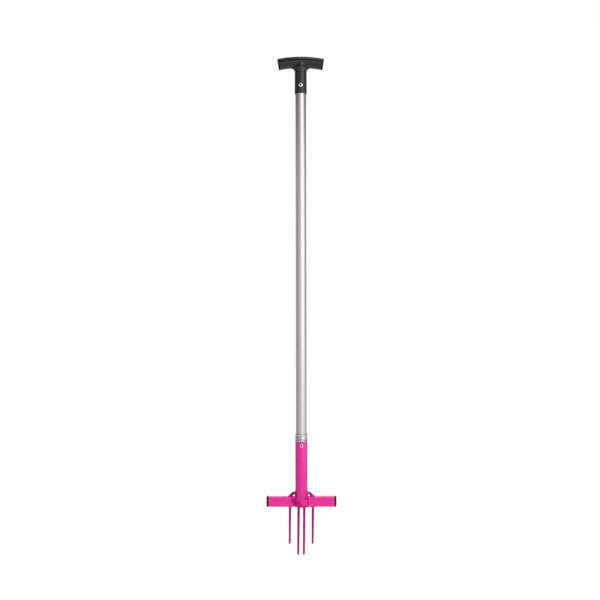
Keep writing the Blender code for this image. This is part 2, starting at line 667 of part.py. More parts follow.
def main():
    clear_scene()
    pink = make_material("pink powder coat", (0.720, 0.030, 0.260), 0.38, 0.0)
    silver = make_material("satin aluminium", (0.720, 0.690, 0.700), 0.28, 1.0)
    bright = make_material("bright steel", (0.620, 0.590, 0.600), 0.22, 1.0)
    dark_steel = make_material("dark steel", (0.200, 0.180, 0.190), 0.45, 1.0)
    black = make_material("black moulded plastic", (0.028, 0.028, 0.028), 0.42, 0.0)
    cap_black = make_material("black cap plastic", (0.020, 0.018, 0.019), 0.50, 0.0)

    build_shaft(silver)
    build_socket(pink)
    build_ferrule(bright)
    build_grip_body(black)
    build_grip_caps(black)
    build_rivet("grip", GRIP_RIVET_HEIGHT, GRIP_RIM_RADIUS, bright, dark_steel)
    build_rivet("socket", SOCKET_RIVET_HEIGHT, SOCKET_RADIUS, bright, dark_steel)
    build_foot_bar(pink, cap_black)
    build_outer_tines(pink)
    build_inner_tines(pink)
    build_floor_plate(pink)
    build_tine_welds(pink)
    build_brace_root_welds(pink)
    build_brace_foot_welds(pink)
    build_peg_welds(pink)


if __name__ == "__main__":
    main()
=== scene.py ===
"""T-handle weeder: finished pieces, materials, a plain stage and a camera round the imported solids.

Metres, Z up. The origin is on the shaft's axis in the plane of the head's underside. The grip and the foot
bar lie along X, and the rivets face -Y, towards the camera.
"""

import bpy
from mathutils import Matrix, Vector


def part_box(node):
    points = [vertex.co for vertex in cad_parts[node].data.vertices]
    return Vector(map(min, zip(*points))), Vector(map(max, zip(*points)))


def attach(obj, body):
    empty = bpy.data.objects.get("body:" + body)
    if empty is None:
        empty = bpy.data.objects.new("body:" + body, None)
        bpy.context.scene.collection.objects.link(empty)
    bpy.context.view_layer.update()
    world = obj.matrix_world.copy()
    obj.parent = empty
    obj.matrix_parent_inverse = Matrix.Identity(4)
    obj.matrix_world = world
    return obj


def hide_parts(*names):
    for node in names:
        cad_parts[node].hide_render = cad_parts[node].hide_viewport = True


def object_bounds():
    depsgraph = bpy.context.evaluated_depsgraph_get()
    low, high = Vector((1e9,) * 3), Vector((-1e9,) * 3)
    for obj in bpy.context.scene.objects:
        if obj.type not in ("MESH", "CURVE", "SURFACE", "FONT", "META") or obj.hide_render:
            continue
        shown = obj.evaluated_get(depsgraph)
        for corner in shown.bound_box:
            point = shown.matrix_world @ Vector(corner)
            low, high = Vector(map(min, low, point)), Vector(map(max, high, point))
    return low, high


bl_info = {
    "name": "T-handle weeder",
    "version": (1, 0, 0),
    "blender": (4, 5, 0),
    "location": "View3D > Sidebar > Weeder",
    "description": "Builds the finished pieces of a stand-up weeder round its solids",
    "category": "Add Mesh",
}

import math

import bmesh
import bpy
from bpy.props import FloatProperty, FloatVectorProperty, IntProperty, PointerProperty
from mathutils import Matrix, Vector, noise

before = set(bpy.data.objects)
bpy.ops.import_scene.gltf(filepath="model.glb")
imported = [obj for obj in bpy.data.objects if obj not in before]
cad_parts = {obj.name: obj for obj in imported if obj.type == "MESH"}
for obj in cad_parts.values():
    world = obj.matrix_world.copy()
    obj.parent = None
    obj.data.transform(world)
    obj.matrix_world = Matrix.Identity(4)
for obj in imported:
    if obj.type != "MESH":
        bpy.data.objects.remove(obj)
CAD_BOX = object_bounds()

SIDES = ((-1, "left"), (1, "right"))
UP = Vector((0, 0, 1))
ACROSS = Vector((1, 0, 0))
DEEP = Vector((0, 1, 0))

# Places read from the frame
SHAFT_LOW, SHAFT_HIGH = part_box("shaft_tube")
SHAFT_RADIUS = SHAFT_HIGH.x
SOCKET_LOW, SOCKET_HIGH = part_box("socket_tube")
SOCKET_RADIUS = SOCKET_HIGH.x
FERRULE_LOW, FERRULE_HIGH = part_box("ferrule")
GRIP_LOW, GRIP_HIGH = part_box("grip_body")
GRIP_CAP_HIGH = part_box("grip_end_cap_right")[1]
BAR_RADIUS = GRIP_CAP_HIGH.y
BAR_AXIS = GRIP_HIGH.z - BAR_RADIUS
STEM_RIM_RADIUS = GRIP_HIGH.y
PEG_LOW, PEG_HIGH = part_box("foot_peg_right")
PEG_SIZE = PEG_HIGH.z - PEG_LOW.z
PEG_CAP_LOW, PEG_CAP_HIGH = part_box("peg_end_cap_right")
OUTER_LOW, OUTER_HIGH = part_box("outer_tine_right")
INNER_LOW, INNER_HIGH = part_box("inner_tine_right")
ROD_RADIUS = OUTER_HIGH.y
OUTER_OFFSET = OUTER_HIGH.x - ROD_RADIUS
INNER_OFFSET = (INNER_LOW.x + INNER_HIGH.x) / 2
BRACE_LEVEL = OUTER_HIGH.z - ROD_RADIUS
RIVET_LOW, RIVET_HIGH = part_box("socket_rivet_body")
RIVET_HEIGHT = (RIVET_LOW.z + RIVET_HIGH.z) / 2

# Sizes that the frame's boxes don't give
GAP = 0.0003
SHAFT_WALL = 0.0012
SLEEVE_RADIUS = SHAFT_RADIUS + GAP
GRIP_ARCH_RADIUS = 0.2620
GRIP_END_LEAN = math.radians(9)
GRIP_CAP_THICKNESS = 0.0030
GRIP_STEM_RADIUS = SLEEVE_RADIUS + 0.0013
GRIP_FILLET = 0.0096
SHAFT_IN_GRIP = SHAFT_HIGH.z - GRIP_LOW.z
FERRULE_CORE = SLEEVE_RADIUS + 0.0011
PEG_WALL = 0.0020
PEG_CORNER = 0.0050
BRACE_RISE = 0.0009
BRACE_LEVEL_RUN = 0.0048
BRACE_BEND_RADIUS = 0.0050
TIP_DIAMETER = 0.0050
TIP_POINT_DIAMETER = 0.0024
TIP_POINT_LENGTH = 0.0028
TAPER_LENGTH = 0.0700
RIVET_SHANK_RADIUS = 0.0024
MANDREL_RADIUS = 0.0012
HAND_MARKS = 5  # seed of the noise that the forging and the welds follow

# The photograph's camera, for a picture of 600 by 600 pixels
PICTURE_SIDE = 600
FOCAL_PIXELS = 820
SENSOR_WIDTH = 36.0
CAMERA_PLACE = (-0.0026, -1.968, 0.4947)

# The stage: a round floor just under the tips, and softboxes with their azimuth from the front in degrees,
# their elevation, their distance and their size
FLOOR_RADIUS = 0.5
FLOOR_DROP = 0.0005
KEY_SOFTBOX = (13, 50, 2.4, (1.2, 1.4))
BACK_SOFTBOX = (180, 45, 2.4, (1.6, 1.2))


def colour(code):
    """Turns an sRGB hex code into a linear colour."""
    channels = [int(code[i:i + 2], 16) / 255 for i in (1, 3, 5)]
    return tuple(c / 12.92 if c <= 0.04045 else ((c + 0.055) / 1.055) ** 2.4 for c in channels)


def colour_property(name, description, code):
    return FloatVectorProperty(name=name, description=description, subtype="COLOR", size=3, min=0, max=1,
                               default=colour(code))


def length_property(name, description, metres):
    return FloatProperty(name=name, description=description, subtype="DISTANCE", unit="LENGTH", min=0,
                         default=metres, precision=5)


class WeederFinish(bpy.types.PropertyGroup):
    coat: colour_property("Powder coat", "Pink of the powder-coated steel", "#E41096")
    coat_deep: colour_property("Powder coat, deep", "Pink where the coat is thickest", "#DC0C8E")
    # Darker pink that stands for painted shade in the corners at the welds, under the head and round the
    # rivet
    coat_painted_shade: colour_property("Powder coat, painted shade", "Darker pink painted as shade in corners, under the head and round the rivet",
                               "#820C4C")
    metal: colour_property("Shaft", "Drawn aluminium of the shaft", "#D2CCCD")
    ferrule: colour_property("Ferrule", "Polished metal of the ferrule", "#CCC3C9")
    rivet: colour_property("Rivets", "Aluminium of the blind rivets", "#DEDCDE")
    grip: colour_property("Grip", "Black moulded plastic of the grip", "#080808")
    caps: colour_property("Caps", "Black plastic of the end caps", "#0E0C0D")


class WeederSizes(bpy.types.PropertyGroup):
    grip_voxel: length_property("Grip mesh size", "Size of the faces that the grip is blended with", 0.0007)
    ferrule_bead: length_property("Ferrule bead", "How far the ferrule's spiral bead stands out", 0.0009)
    ferrule_pitch: length_property("Ferrule pitch", "Drop of the bead in one turn", 0.0108)
    weld_ripple: length_property("Weld ripple", "Distance between the ripples of a weld bead", 0.0013)
    rod_wander: length_property("Rod wander", "How far the forged tines stray from true", 0.00012)
    tine_lean: FloatProperty(name="Tine lean", description="How far the tines lean to -X for each metre down",
                             min=0, max=0.1, default=0.0112, precision=4)
    shaft_sides: IntProperty(name="Shaft sides", description="Sides of the round tubes", min=24, max=256,
                             default=128)


class WeederStage(bpy.types.PropertyGroup):
    key: FloatProperty(name="Key light", description="Power of the softbox above on the right",
                       subtype="POWER", min=0, default=38.0)
    back: FloatProperty(name="Back light", description="Power of the softbox above and behind",
                        subtype="POWER", min=0, default=28.0)
    room: FloatProperty(name="Room", description="Strength of the studio's walls", min=0, default=2.0)
    roll: FloatProperty(name="Roll", description="Turn of the camera about its own axis", subtype="ANGLE",
                        default=math.radians(0.108))


def settings():
    return bpy.context.scene.weeder_sizes


def finish():
    return bpy.context.scene.weeder_finish


# Node helper and materials

def add_node(tree, kind, inputs=None, **values):
    """Adds a node, gives it its settings, and fills or links its inputs by name or number."""
    made = tree.nodes.new(kind)
    for name, value in values.items():
        setattr(made, name, value)
    for name, value in (inputs or {}).items():
        if isinstance(value, bpy.types.NodeSocket):
            tree.links.new(value, made.inputs[name])
        else:
            made.inputs[name].default_value = value
    return made


def start_material(name):
    """An empty material with its output node."""
    material = bpy.data.materials.new(name)
    material.use_nodes = True
    tree = material.node_tree
    tree.nodes.clear()
    output = tree.nodes.new("ShaderNodeOutputMaterial")
    return material, tree, output


def object_noise(tree, size, detail=2.0, stretch=(1, 1, 1)):
    """Noise on Object coordinates whose lumps are about one size across, in metres."""
    place = add_node(tree, "ShaderNodeTexCoord").outputs["Object"]
    spread = add_node(tree, "ShaderNodeMapping", {"Vector": place, "Scale": stretch})
    return add_node(tree, "ShaderNodeTexNoise", {"Vector": spread.outputs[0], "Scale": 1 / size,
                                                 "Detail": detail, "Roughness": 0.5})


# Spots of painted shade on the coat: the corners at the welds, the braces and under their holes, the head's
# underside, under the ferrule, round the socket's rivet and across the pegs near the socket: centre, reach
# and amount
PAINTED_SHADE_SPOTS = (
    ((-0.0180, -0.0120, 0.0160), 0.0130, 0.70),
    ((-0.0060, -0.0148, 0.0090), 0.0130, 0.45),
    ((-0.0125, -0.0135, 0.0110), 0.0150, 0.75),
    ((0.0125, -0.0100, 0.0125), 0.0060, 0.25),
    ((0.0222, -0.0125, 0.0110), 0.0060, 0.25),
    ((-0.0225, 0.0, 0.0305), 0.0150, 1.60),
    ((0.0225, 0.0, 0.0295), 0.0120, 1.00),
    ((0.0225, 0.0, 0.0262), 0.0045, 1.50),
    ((0.0, 0.0, -0.0050), 0.0180, 1.10),
    ((-0.0020, -0.0145, 0.0002), 0.0100, 0.80),
    ((0.0120, -0.0145, 0.0002), 0.0080, 0.70),
    ((-0.0020, -0.0145, SOCKET_HIGH.z - 0.0080), 0.0085, 0.35),
    ((0.0, -0.0150, RIVET_HEIGHT), 0.0066, 0.40),
    ((0.0010, -0.0150, 0.0220), 0.0300, 0.15),
)


def painted_shade_mask(tree):
    """Painted shade: one in the spots at the welds, braces, underside and rivet, and half as much all down
    the tines from just below the head.
    """
    place = add_node(tree, "ShaderNodeTexCoord").outputs["Object"]
    amount = None
    for centre, reach, most in PAINTED_SHADE_SPOTS:
        distance = add_node(tree, "ShaderNodeVectorMath", {0: place, 1: centre}, operation="DISTANCE")
        near = add_node(tree, "ShaderNodeMapRange", {"Value": distance.outputs["Value"], "From Min": reach,
                                                     "From Max": 0.0, "To Max": most},
                        interpolation_type="SMOOTHSTEP")
        amount = near.outputs[0] if amount is None else add_node(
            tree, "ShaderNodeMath", {0: amount, 1: near.outputs[0]}, operation="MAXIMUM").outputs[0]
    height = add_node(tree, "ShaderNodeSeparateXYZ", {0: place}).outputs["Z"]
    # A painted shadow under the head: the tines turn darker from just below it down to their tips
    shadow_under_head = add_node(tree, "ShaderNodeMapRange", {"Value": height, "From Min": 0.001, "From Max": -0.006,
                                                  "To Max": 0.50})
    return add_node(tree, "ShaderNodeMath", {0: amount, 1: shadow_under_head.outputs[0]}, operation="MAXIMUM",
                    use_clamp=True).outputs[0]


def give_shader(tree, output, grain, roughness, bump, inputs):
    """Gives a material its shader: a roughness that follows its grain, a bump, and what its finish sets."""
    dullness = add_node(tree, "ShaderNodeMapRange", {"Value": grain.outputs[0], "To Min": roughness[0],
                                                     "To Max": roughness[1]})
    height, strength, depth = bump
    relief = add_node(tree, "ShaderNodeBump", {"Height": height.outputs[0], "Strength": strength,
                                               "Distance": depth})
    shader = add_node(tree, "ShaderNodeBsdfPrincipled", {
        **inputs, "Roughness": dullness.outputs[0], "Normal": relief.outputs[0]})
    tree.links.new(shader.outputs[0], output.inputs["Surface"])


def powder_coat():
    """Polyester powder coat on steel, sprayed and baked: glossy, with orange peel, slow drifts and painted
    shade at the welds, braces, rivet and tines.
    """
    material, tree, output = start_material("powder coat")
    drift = object_noise(tree, 0.030, 3.0)
    peel = object_noise(tree, 0.0016, 1.0)
    speck = object_noise(tree, 0.0005, 2.0)
    thick = add_node(tree, "ShaderNodeMapRange", {"Value": drift.outputs[0], "To Max": 0.9})
    tint = add_node(tree, "ShaderNodeMix", {"Factor": thick.outputs[0], "A": (*finish().coat, 1),
                                            "B": (*finish().coat_deep, 1)}, data_type="RGBA")
    # The painted shade, which darkens the pink and dulls the coat below
    corners = painted_shade_mask(tree)
    shaded_tint = add_node(tree, "ShaderNodeMix", {"Factor": corners, "A": tint.outputs[2],
                                            "B": (*finish().coat_painted_shade, 1)}, data_type="RGBA")
    faint = add_node(tree, "ShaderNodeMapRange", {"Value": speck.outputs[0], "To Max": 0.12})
    height = add_node(tree, "ShaderNodeMath", {0: peel.outputs[0], 1: faint.outputs[0]}, operation="ADD")
    # Where shade is painted the coat is also made duller, so that it shines less there
    gloss_under_shade = add_node(tree, "ShaderNodeMapRange", {"Value": corners, "From Max": 0.5, "To Min": 1.0,
                                                  "To Max": 0.1})
    # The coat makes the shine, so the layer under it has almost none
    give_shader(tree, output, speck, (0.36, 0.50), (height, 0.12, 0.0002), {
        "Base Color": shaded_tint.outputs[2], "IOR": 1.5, "Specular IOR Level": 0.05,
        "Coat Weight": gloss_under_shade.outputs[0], "Coat Roughness": 0.12, "Coat IOR": 1.5})
    return material


def drawn_aluminium():
    """Drawn aluminium tube, bright dipped: a soft metal sheen broken by hair lines along its length."""
    material, tree, output = start_material("drawn aluminium")
    lines = object_noise(tree, 0.0006, 2.0, (1, 1, 0.012))
    cloud = object_noise(tree, 0.05, 3.0, (1, 1, 0.3))
    share = add_node(tree, "ShaderNodeMapRange", {"Value": cloud.outputs[0], "To Max": 0.5})
    tint = add_node(tree, "ShaderNodeMix", {"Factor": share.outputs[0], "A": (*finish().metal, 1),
                                            "B": (*colour("#CBC5C6"), 1)}, data_type="RGBA")
    give_shader(tree, output, lines, (0.20, 0.30), (lines, 0.04, 0.00002),
                {"Base Color": tint.outputs[2], "Metallic": 1.0})
    return material


def rolled_ferrule():
    """Thin metal sleeve, rolled and polished: a hard shine with faint turning marks round it."""
    material, tree, output = start_material("rolled ferrule")
    marks = object_noise(tree, 0.0009, 2.0, (0.08, 0.08, 1))
    give_shader(tree, output, marks, (0.10, 0.20), (marks, 0.06, 0.0001),
                {"Base Color": (*finish().ferrule, 1), "Metallic": 1.0})
    return material


def rivet_aluminium():
    """Soft aluminium rivet, pressed: a dull shine with small dents."""
    material, tree, output = start_material("rivet aluminium")
    dents = object_noise(tree, 0.0008, 2.0)
    give_shader(tree, output, dents, (0.18, 0.34), (dents, 0.15, 0.0001),
                {"Base Color": (*finish().rivet, 1), "Metallic": 1.0})
    return material


def snapped_steel():
    """Torn end of a steel mandrel: dark and grainy."""
    material, tree, output = start_material("snapped steel")
    grain = object_noise(tree, 0.0003, 3.0)
    give_shader(tree, output, grain, (0.40, 0.60), (grain, 0.5, 0.0001),
                {"Base Color": (*colour("#3A3436"), 1), "Metallic": 1.0})
    return material


def moulded_grip():
    """Black polypropylene from an eroded mould: a fine matt grain, with a parting line at its middle."""
    material, tree, output = start_material("moulded grip plastic")
    grain = object_noise(tree, 0.0006, 2.0)
    drift = object_noise(tree, 0.012, 2.0)
    place = add_node(tree, "ShaderNodeTexCoord").outputs["Object"]
    depth = add_node(tree, "ShaderNodeSeparateXYZ", {0: place}).outputs["Y"]
    off_middle = add_node(tree, "ShaderNodeMath", {0: depth}, operation="ABSOLUTE")
    line = add_node(tree, "ShaderNodeMapRange", {"Value": off_middle.outputs[0], "From Min": 0.0,
                                                 "From Max": 0.00035, "To Min": 1.5, "To Max": 0.0})
    height = add_node(tree, "ShaderNodeMath", {0: grain.outputs[0], 1: line.outputs[0]}, operation="ADD")
    tint = add_node(tree, "ShaderNodeMix", {"Factor": drift.outputs[0], "A": (*finish().grip, 1),
                                            "B": (*colour("#0C0C0D"), 1)}, data_type="RGBA")
    give_shader(tree, output, grain, (0.15, 0.24), (height, 0.22, 0.0002),
                {"Base Color": tint.outputs[2], "IOR": 1.54})
    return material


def plug_plastic():
    """Black polyethylene plugs of the grip: a flat, dull skin that shows darker than the grip."""
    material, tree, output = start_material("plug plastic")
    grain = object_noise(tree, 0.0008, 2.0)
    give_shader(tree, output, grain, (0.46, 0.58), (grain, 0.15, 0.0001),
                {"Base Color": (*colour("#080808"), 1), "IOR": 1.51, "Specular IOR Level": 0.12})
    return material


def cap_plastic():
    """Soft black polyethylene, moulded: a waxy skin, duller than the grip."""
    material, tree, output = start_material("moulded cap plastic")
    grain = object_noise(tree, 0.0012, 2.0)
    give_shader(tree, output, grain, (0.36, 0.48), (grain, 0.12, 0.0001),
                {"Base Color": (*finish().caps, 1), "IOR": 1.51, "Specular IOR Level": 0.25})
    return material


MAKERS = {
    "powder_coat": powder_coat,
    "shaft_aluminium": drawn_aluminium,
    "ferrule_metal": rolled_ferrule,
    "rivet_aluminium": rivet_aluminium,
    "mandrel_steel": snapped_steel,
    "grip_plastic": moulded_grip,
    "plug_plastic": plug_plastic,
    "cap_plastic": cap_plastic,
}
made_materials = {}


def material_for(slot):
    """A finish by its name, which for most is the record's slot, made once."""
    if slot not in made_materials:
        made_materials[slot] = MAKERS[slot]()
    return made_materials[slot]


# Mesh helpers

def as_piece(name, bm, slot, replaced=(), edge=0.0, look=None):
    """Turns a bmesh into a finished piece that rides on the tool and stands for some of its solids."""
    bmesh.ops.remove_doubles(bm, verts=bm.verts, dist=1e-6)
    bmesh.ops.recalc_face_normals(bm, faces=bm.faces)
    mesh = bpy.data.meshes.new(name)
    bm.to_mesh(mesh)
    bm.free()
    mesh.shade_smooth()
    mesh.set_sharp_from_angle(angle=math.radians(35))
    piece = bpy.data.objects.new(name, mesh)
    bpy.context.scene.collection.objects.link(piece)
    piece.data.materials.append(material_for(look or slot))
    if edge:
        round_off = piece.modifiers.new("round edges", "BEVEL")
        round_off.width = edge
        round_off.segments = 3
        round_off.limit_method = "ANGLE"
        round_off.angle_limit = math.radians(40)
        round_off.harden_normals = True
    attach(piece, "root")
    if replaced:
        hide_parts(*replaced)
    return piece


def loose_object(name, bm):
    """A helper object for cutting and joining, which isn't kept."""
    bmesh.ops.recalc_face_normals(bm, faces=bm.faces)
    mesh = bpy.data.meshes.new(name)
    bm.to_mesh(mesh)
    bm.free()
    thing = bpy.data.objects.new(name, mesh)
    bpy.context.scene.collection.objects.link(thing)
    return thing


def settle(thing):
    """Applies an object's modifiers to its mesh."""
    bpy.context.view_layer.update()
    graph = bpy.context.evaluated_depsgraph_get()
    mesh = bpy.data.meshes.new_from_object(thing.evaluated_get(graph))
    thing.modifiers.clear()
    thing.data = mesh


def combine(thing, tool, operation):
    """Cuts one mesh from another or joins them, and removes the tool."""
    step = thing.modifiers.new(operation.lower(), "BOOLEAN")
    step.operation = operation
    step.solver = "EXACT"
    step.object = tool
    settle(thing)
    bpy.data.objects.remove(tool)


def take_mesh(thing):
    """Gives a helper object's mesh back as a bmesh, and removes the object."""
    bm = bmesh.new()
    bm.from_mesh(thing.data)
    bpy.data.objects.remove(thing)
    return bm


def lathe(bm, profile, sides, closed=False):
    """Spins a profile of (radius, height) points round the Z axis."""
    verts = [bm.verts.new((radius, 0, height)) for radius, height in profile]
    pairs = list(zip(verts, verts[1:]))
    if closed:
        pairs.append((verts[-1], verts[0]))
    edges = [bm.edges.new(pair) for pair in pairs]
    bmesh.ops.spin(bm, geom=verts + edges, cent=(0, 0, 0), axis=UP, dvec=(0, 0, 0), angle=math.tau,
                   steps=sides, use_merge=True, use_duplicate=False)
    bmesh.ops.remove_doubles(bm, verts=bm.verts, dist=1e-7)


def round_corners(points, radius, steps=4, closed=False):
    """Replaces a profile's corners with arcs."""
    rounded = []
    count = len(points)
    for i, point in enumerate(points):
        if not closed and i in (0, count - 1):
            rounded.append(point)
            continue
        corner = Vector(point)
        before = (Vector(points[i - 1]) - corner)
        after = (Vector(points[(i + 1) % count]) - corner)
        reach = min(radius, before.length / 2.2, after.length / 2.2)
        start = corner + before.normalized() * reach
        finish_at = corner + after.normalized() * reach
        for step in range(steps + 1):
            share = step / steps
            curve = start.lerp(corner, share).lerp(corner.lerp(finish_at, share), share)
            rounded.append(tuple(curve))
    return rounded


def station(point, direction, wide, tall=None, normal=DEEP):
    """Places a unit circle at a point, square to a direction: wide along the surface, tall off it."""
    direction = direction.normalized()
    across = direction.cross(normal).normalized()
    out = across.cross(direction).normalized()
    turn = Matrix((across, out, direction)).transposed().to_4x4()
    return Matrix.Translation(point) @ turn @ Matrix.Diagonal((wide, tall or wide, 1, 1))


def sweep(bm, stations, sides, closed=False, shape=None):
    """A skin through placed circles, or circles of another shape, capped at both ends or closed on itself."""
    ring = bmesh.ops.create_circle(bm, cap_ends=False, segments=sides, radius=1.0)["verts"]
    for vert in ring if shape else ():
        vert.co = shape(vert.co)
    first = list({edge for vert in ring for edge in vert.link_edges})
    bmesh.ops.transform(bm, matrix=stations[0], verts=ring)
    edges = first
    last = stations[0]
    for place in stations[1:]:
        grown = bmesh.ops.extrude_edge_only(bm, edges=edges)["geom"]
        verts = [part for part in grown if isinstance(part, bmesh.types.BMVert)]
        edges = [edge for edge in grown if isinstance(edge, bmesh.types.BMEdge)
                 and all(vert in verts for vert in edge.verts)]
        bmesh.ops.transform(bm, matrix=place @ last.inverted(), verts=verts)
        last = place
    if closed:
        bmesh.ops.bridge_loops(bm, edges=first + edges)
    else:
        bmesh.ops.contextual_create(bm, geom=first)
        bmesh.ops.contextual_create(bm, geom=edges)


def lean_over(verts):
    """Leans what hangs below the head to one side, as the tines were bent in use."""
    bend_height = -0.005
    for vert in verts:
        vert.co.x += settings().tine_lean * min(0.0, vert.co.z - bend_height)


def wander(verts, amount, size):
    """Moves points a little along smooth noise, for forged and welded steel."""
    for vert in verts:
        vert.co += amount * noise.noise_vector(vert.co / size)


# Shaft, socket and ferrule

def tube(outer, inner, low, high, rounding):
    """A plain tube round the shaft's axis, with rounded rims."""
    bm = bmesh.new()
    corners = [(outer, low), (outer, high), (inner, high), (inner, low)]
    lathe(bm, round_corners(corners, rounding, closed=True), settings().shaft_sides, closed=True)
    return bm


def drill(bm, places):
    """Cuts the holes for the rivets through the front wall."""
    body = loose_object("drilled", bm)
    for place in places:
        low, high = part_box(f"{place}_rivet_body")
        hole = bmesh.new()
        centre = Vector((0, 0, (low.z + high.z) / 2))
        inside, outside = 0.006, 0.02
        sweep(hole, [station(centre - DEEP * depth, -DEEP, RIVET_SHANK_RADIUS + GAP / 2, normal=UP)
                     for depth in (inside, outside)], 40)
        combine(body, loose_object("hole", hole), "DIFFERENCE")
    return take_mesh(body)


class WEEDER_OT_shaft(bpy.types.Operator):
    """Make the drawn tube shaft"""
    bl_idname = "weeder.shaft"
    bl_label = "Shaft"

    def execute(self, context):
        bm = tube(SHAFT_RADIUS, SHAFT_RADIUS - SHAFT_WALL, SHAFT_LOW.z, SHAFT_HIGH.z, 0.0003)
        as_piece("shaft", drill(bm, ("grip", "socket")), "shaft_aluminium", ["shaft_tube"])
        return {"FINISHED"}


class WEEDER_OT_socket(bpy.types.Operator):
    """Make the coated socket that holds the shaft"""
    bl_idname = "weeder.socket"
    bl_label = "Socket"

    def execute(self, context):
        bm = tube(SOCKET_RADIUS, SLEEVE_RADIUS, SOCKET_LOW.z, SOCKET_HIGH.z, 0.0006)
        as_piece("socket", drill(bm, ("socket",)), "powder_coat", ["socket_tube"])
        return {"FINISHED"}


class WEEDER_OT_ferrule(bpy.types.Operator):
    """Make the ferrule, a rolled sleeve with a bead that winds down it"""
    bl_idname = "weeder.ferrule"
    bl_label = "Ferrule"

    def execute(self, context):
        steps, sides = 120, 144
        low, high = FERRULE_LOW.z, FERRULE_HIGH.z
        bead, pitch = settings().ferrule_bead, settings().ferrule_pitch
        # Lips and the grooves beside them, upwards: start, width and how far they stand out
        bands = ((low, 0.0026, 0.0006), (low + 0.0026, 0.0014, -0.0004), (low + 0.0040, 0.0026, 0.0006),
                 (high - 0.0042, 0.0014, -0.0003), (high - 0.0028, 0.0028, 0.0005))
        bead_low, bead_high = low + 0.0066, high - 0.0042
        first_crest, fade, sharpness = high - 0.0034, 0.0010, 3
        profile = [(FERRULE_CORE, low + (high - low) * i / steps) for i in range(steps + 1)]
        profile += [(SLEEVE_RADIUS, high), (SLEEVE_RADIUS, low)]
        bm = bmesh.new()
        lathe(bm, profile, sides, closed=True)
        for vert in bm.verts:
            out = vert.co.xy.length
            if out < (FERRULE_CORE + SLEEVE_RADIUS) / 2:
                continue
            rise = 0.0
            for foot, wide, tall in bands:
                share = (vert.co.z - foot) / wide
                if 0 <= share <= 1:
                    rise = tall * math.sin(math.pi * share) ** 0.7
            room = min(vert.co.z - bead_low, bead_high - vert.co.z)
            if room > 0:
                angle = math.atan2(vert.co.y, vert.co.x) % math.tau
                crest = first_crest - pitch * angle / math.tau
                wave = 0.5 + 0.5 * math.cos(math.tau * (vert.co.z - crest) / pitch)
                rise = bead * min(1.0, room / fade) * wave ** sharpness
            vert.co.xy *= (out + rise) / out
        as_piece("ferrule_sleeve", bm, "ferrule_metal", ["ferrule"])
        return {"FINISHED"}


# Grip

def arch_end_angle():
    """Half the arch's angle, to the joint between the bar and its end cap."""
    reach = GRIP_CAP_HIGH.x - GRIP_CAP_THICKNESS - BAR_RADIUS * math.sin(GRIP_END_LEAN)
    return math.asin(reach / GRIP_ARCH_RADIUS)


def arch_slice(share):
    """A point of the arched bar's axis and its direction, for a share from -1 to 1 of its length."""
    angle, lean = share * arch_end_angle(), share * GRIP_END_LEAN
    drop = GRIP_ARCH_RADIUS * (1 - math.cos(angle))
    centre = Vector((GRIP_ARCH_RADIUS * math.sin(angle), 0, BAR_AXIS - drop))
    return centre, Vector((math.cos(lean), 0, -math.sin(lean)))


def grip_bar():
    """The arched bar, a little longer than it ends up."""
    slices = 40
    overrun = 1.04
    stations = []
    for i in range(slices + 1):
        centre, along = arch_slice(overrun * (2 * i / slices - 1))
        stations.append(station(centre, along, BAR_RADIUS))
    bm = bmesh.new()
    sweep(bm, stations, 64)
    return loose_object("bar", bm)


def grip_stem():
    """The stem, spread sideways where it meets the bar, up to the bar's axis."""
    shoulder = GRIP_STEM_RADIUS + GRIP_FILLET
    underside = BAR_AXIS - BAR_RADIUS - shoulder ** 2 / (2 * GRIP_ARCH_RADIUS)
    flare_top = GRIP_LOW.z + 0.040
    pinch = 0.0008  # keeps the stem's top inside the bar
    rings = [(GRIP_LOW.z, STEM_RIM_RADIUS, STEM_RIM_RADIUS), (flare_top, GRIP_STEM_RADIUS, GRIP_STEM_RADIUS)]
    fillet_steps = 12
    for i in range(fillet_steps + 1):
        turn = math.pi / 2 * i / fillet_steps
        wide = GRIP_STEM_RADIUS + GRIP_FILLET * (1 - math.cos(turn))
        rings.append((underside - GRIP_FILLET * (1 - math.sin(turn)), wide, GRIP_STEM_RADIUS))
    saddle_steps = 10
    for i in range(1, saddle_steps + 1):
        share = i / saddle_steps
        wide = GRIP_STEM_RADIUS + GRIP_FILLET * max(0.0, 1 - 2 * share) ** 2
        rings.append((underside + (BAR_AXIS - underside) * share, wide, GRIP_STEM_RADIUS - pinch * share))
    bm = bmesh.new()
    sweep(bm, [station(Vector((0, 0, height)), UP, wide, deep) for height, wide, deep in rings], 64)
    return loose_object("stem", bm)


def blend_grip(thing):
    """Turns the joined grip into one even skin and softens the line where the stem meets the bar."""
    step = thing.modifiers.new("even skin", "REMESH")
    step.mode = "VOXEL"
    step.voxel_size = settings().grip_voxel
    settle(thing)
    bm = take_mesh(thing)
    joint_low, joint_high, joint_half = BAR_AXIS - 0.026, BAR_AXIS + 0.009, 0.026
    even_passes, joint_passes, closer_in = 4, 3, 0.0008
    for i in range(even_passes + joint_passes):
        chosen = bm.verts
        if i >= even_passes:
            shrink = closer_in * (i - even_passes)
            chosen = [vert for vert in bm.verts if abs(vert.co.x) < joint_half - shrink
                      and joint_low + shrink < vert.co.z < joint_high - shrink]
        bmesh.ops.smooth_vert(bm, verts=chosen, factor=0.5, use_axis_x=True, use_axis_y=True, use_axis_z=True)
    return bm


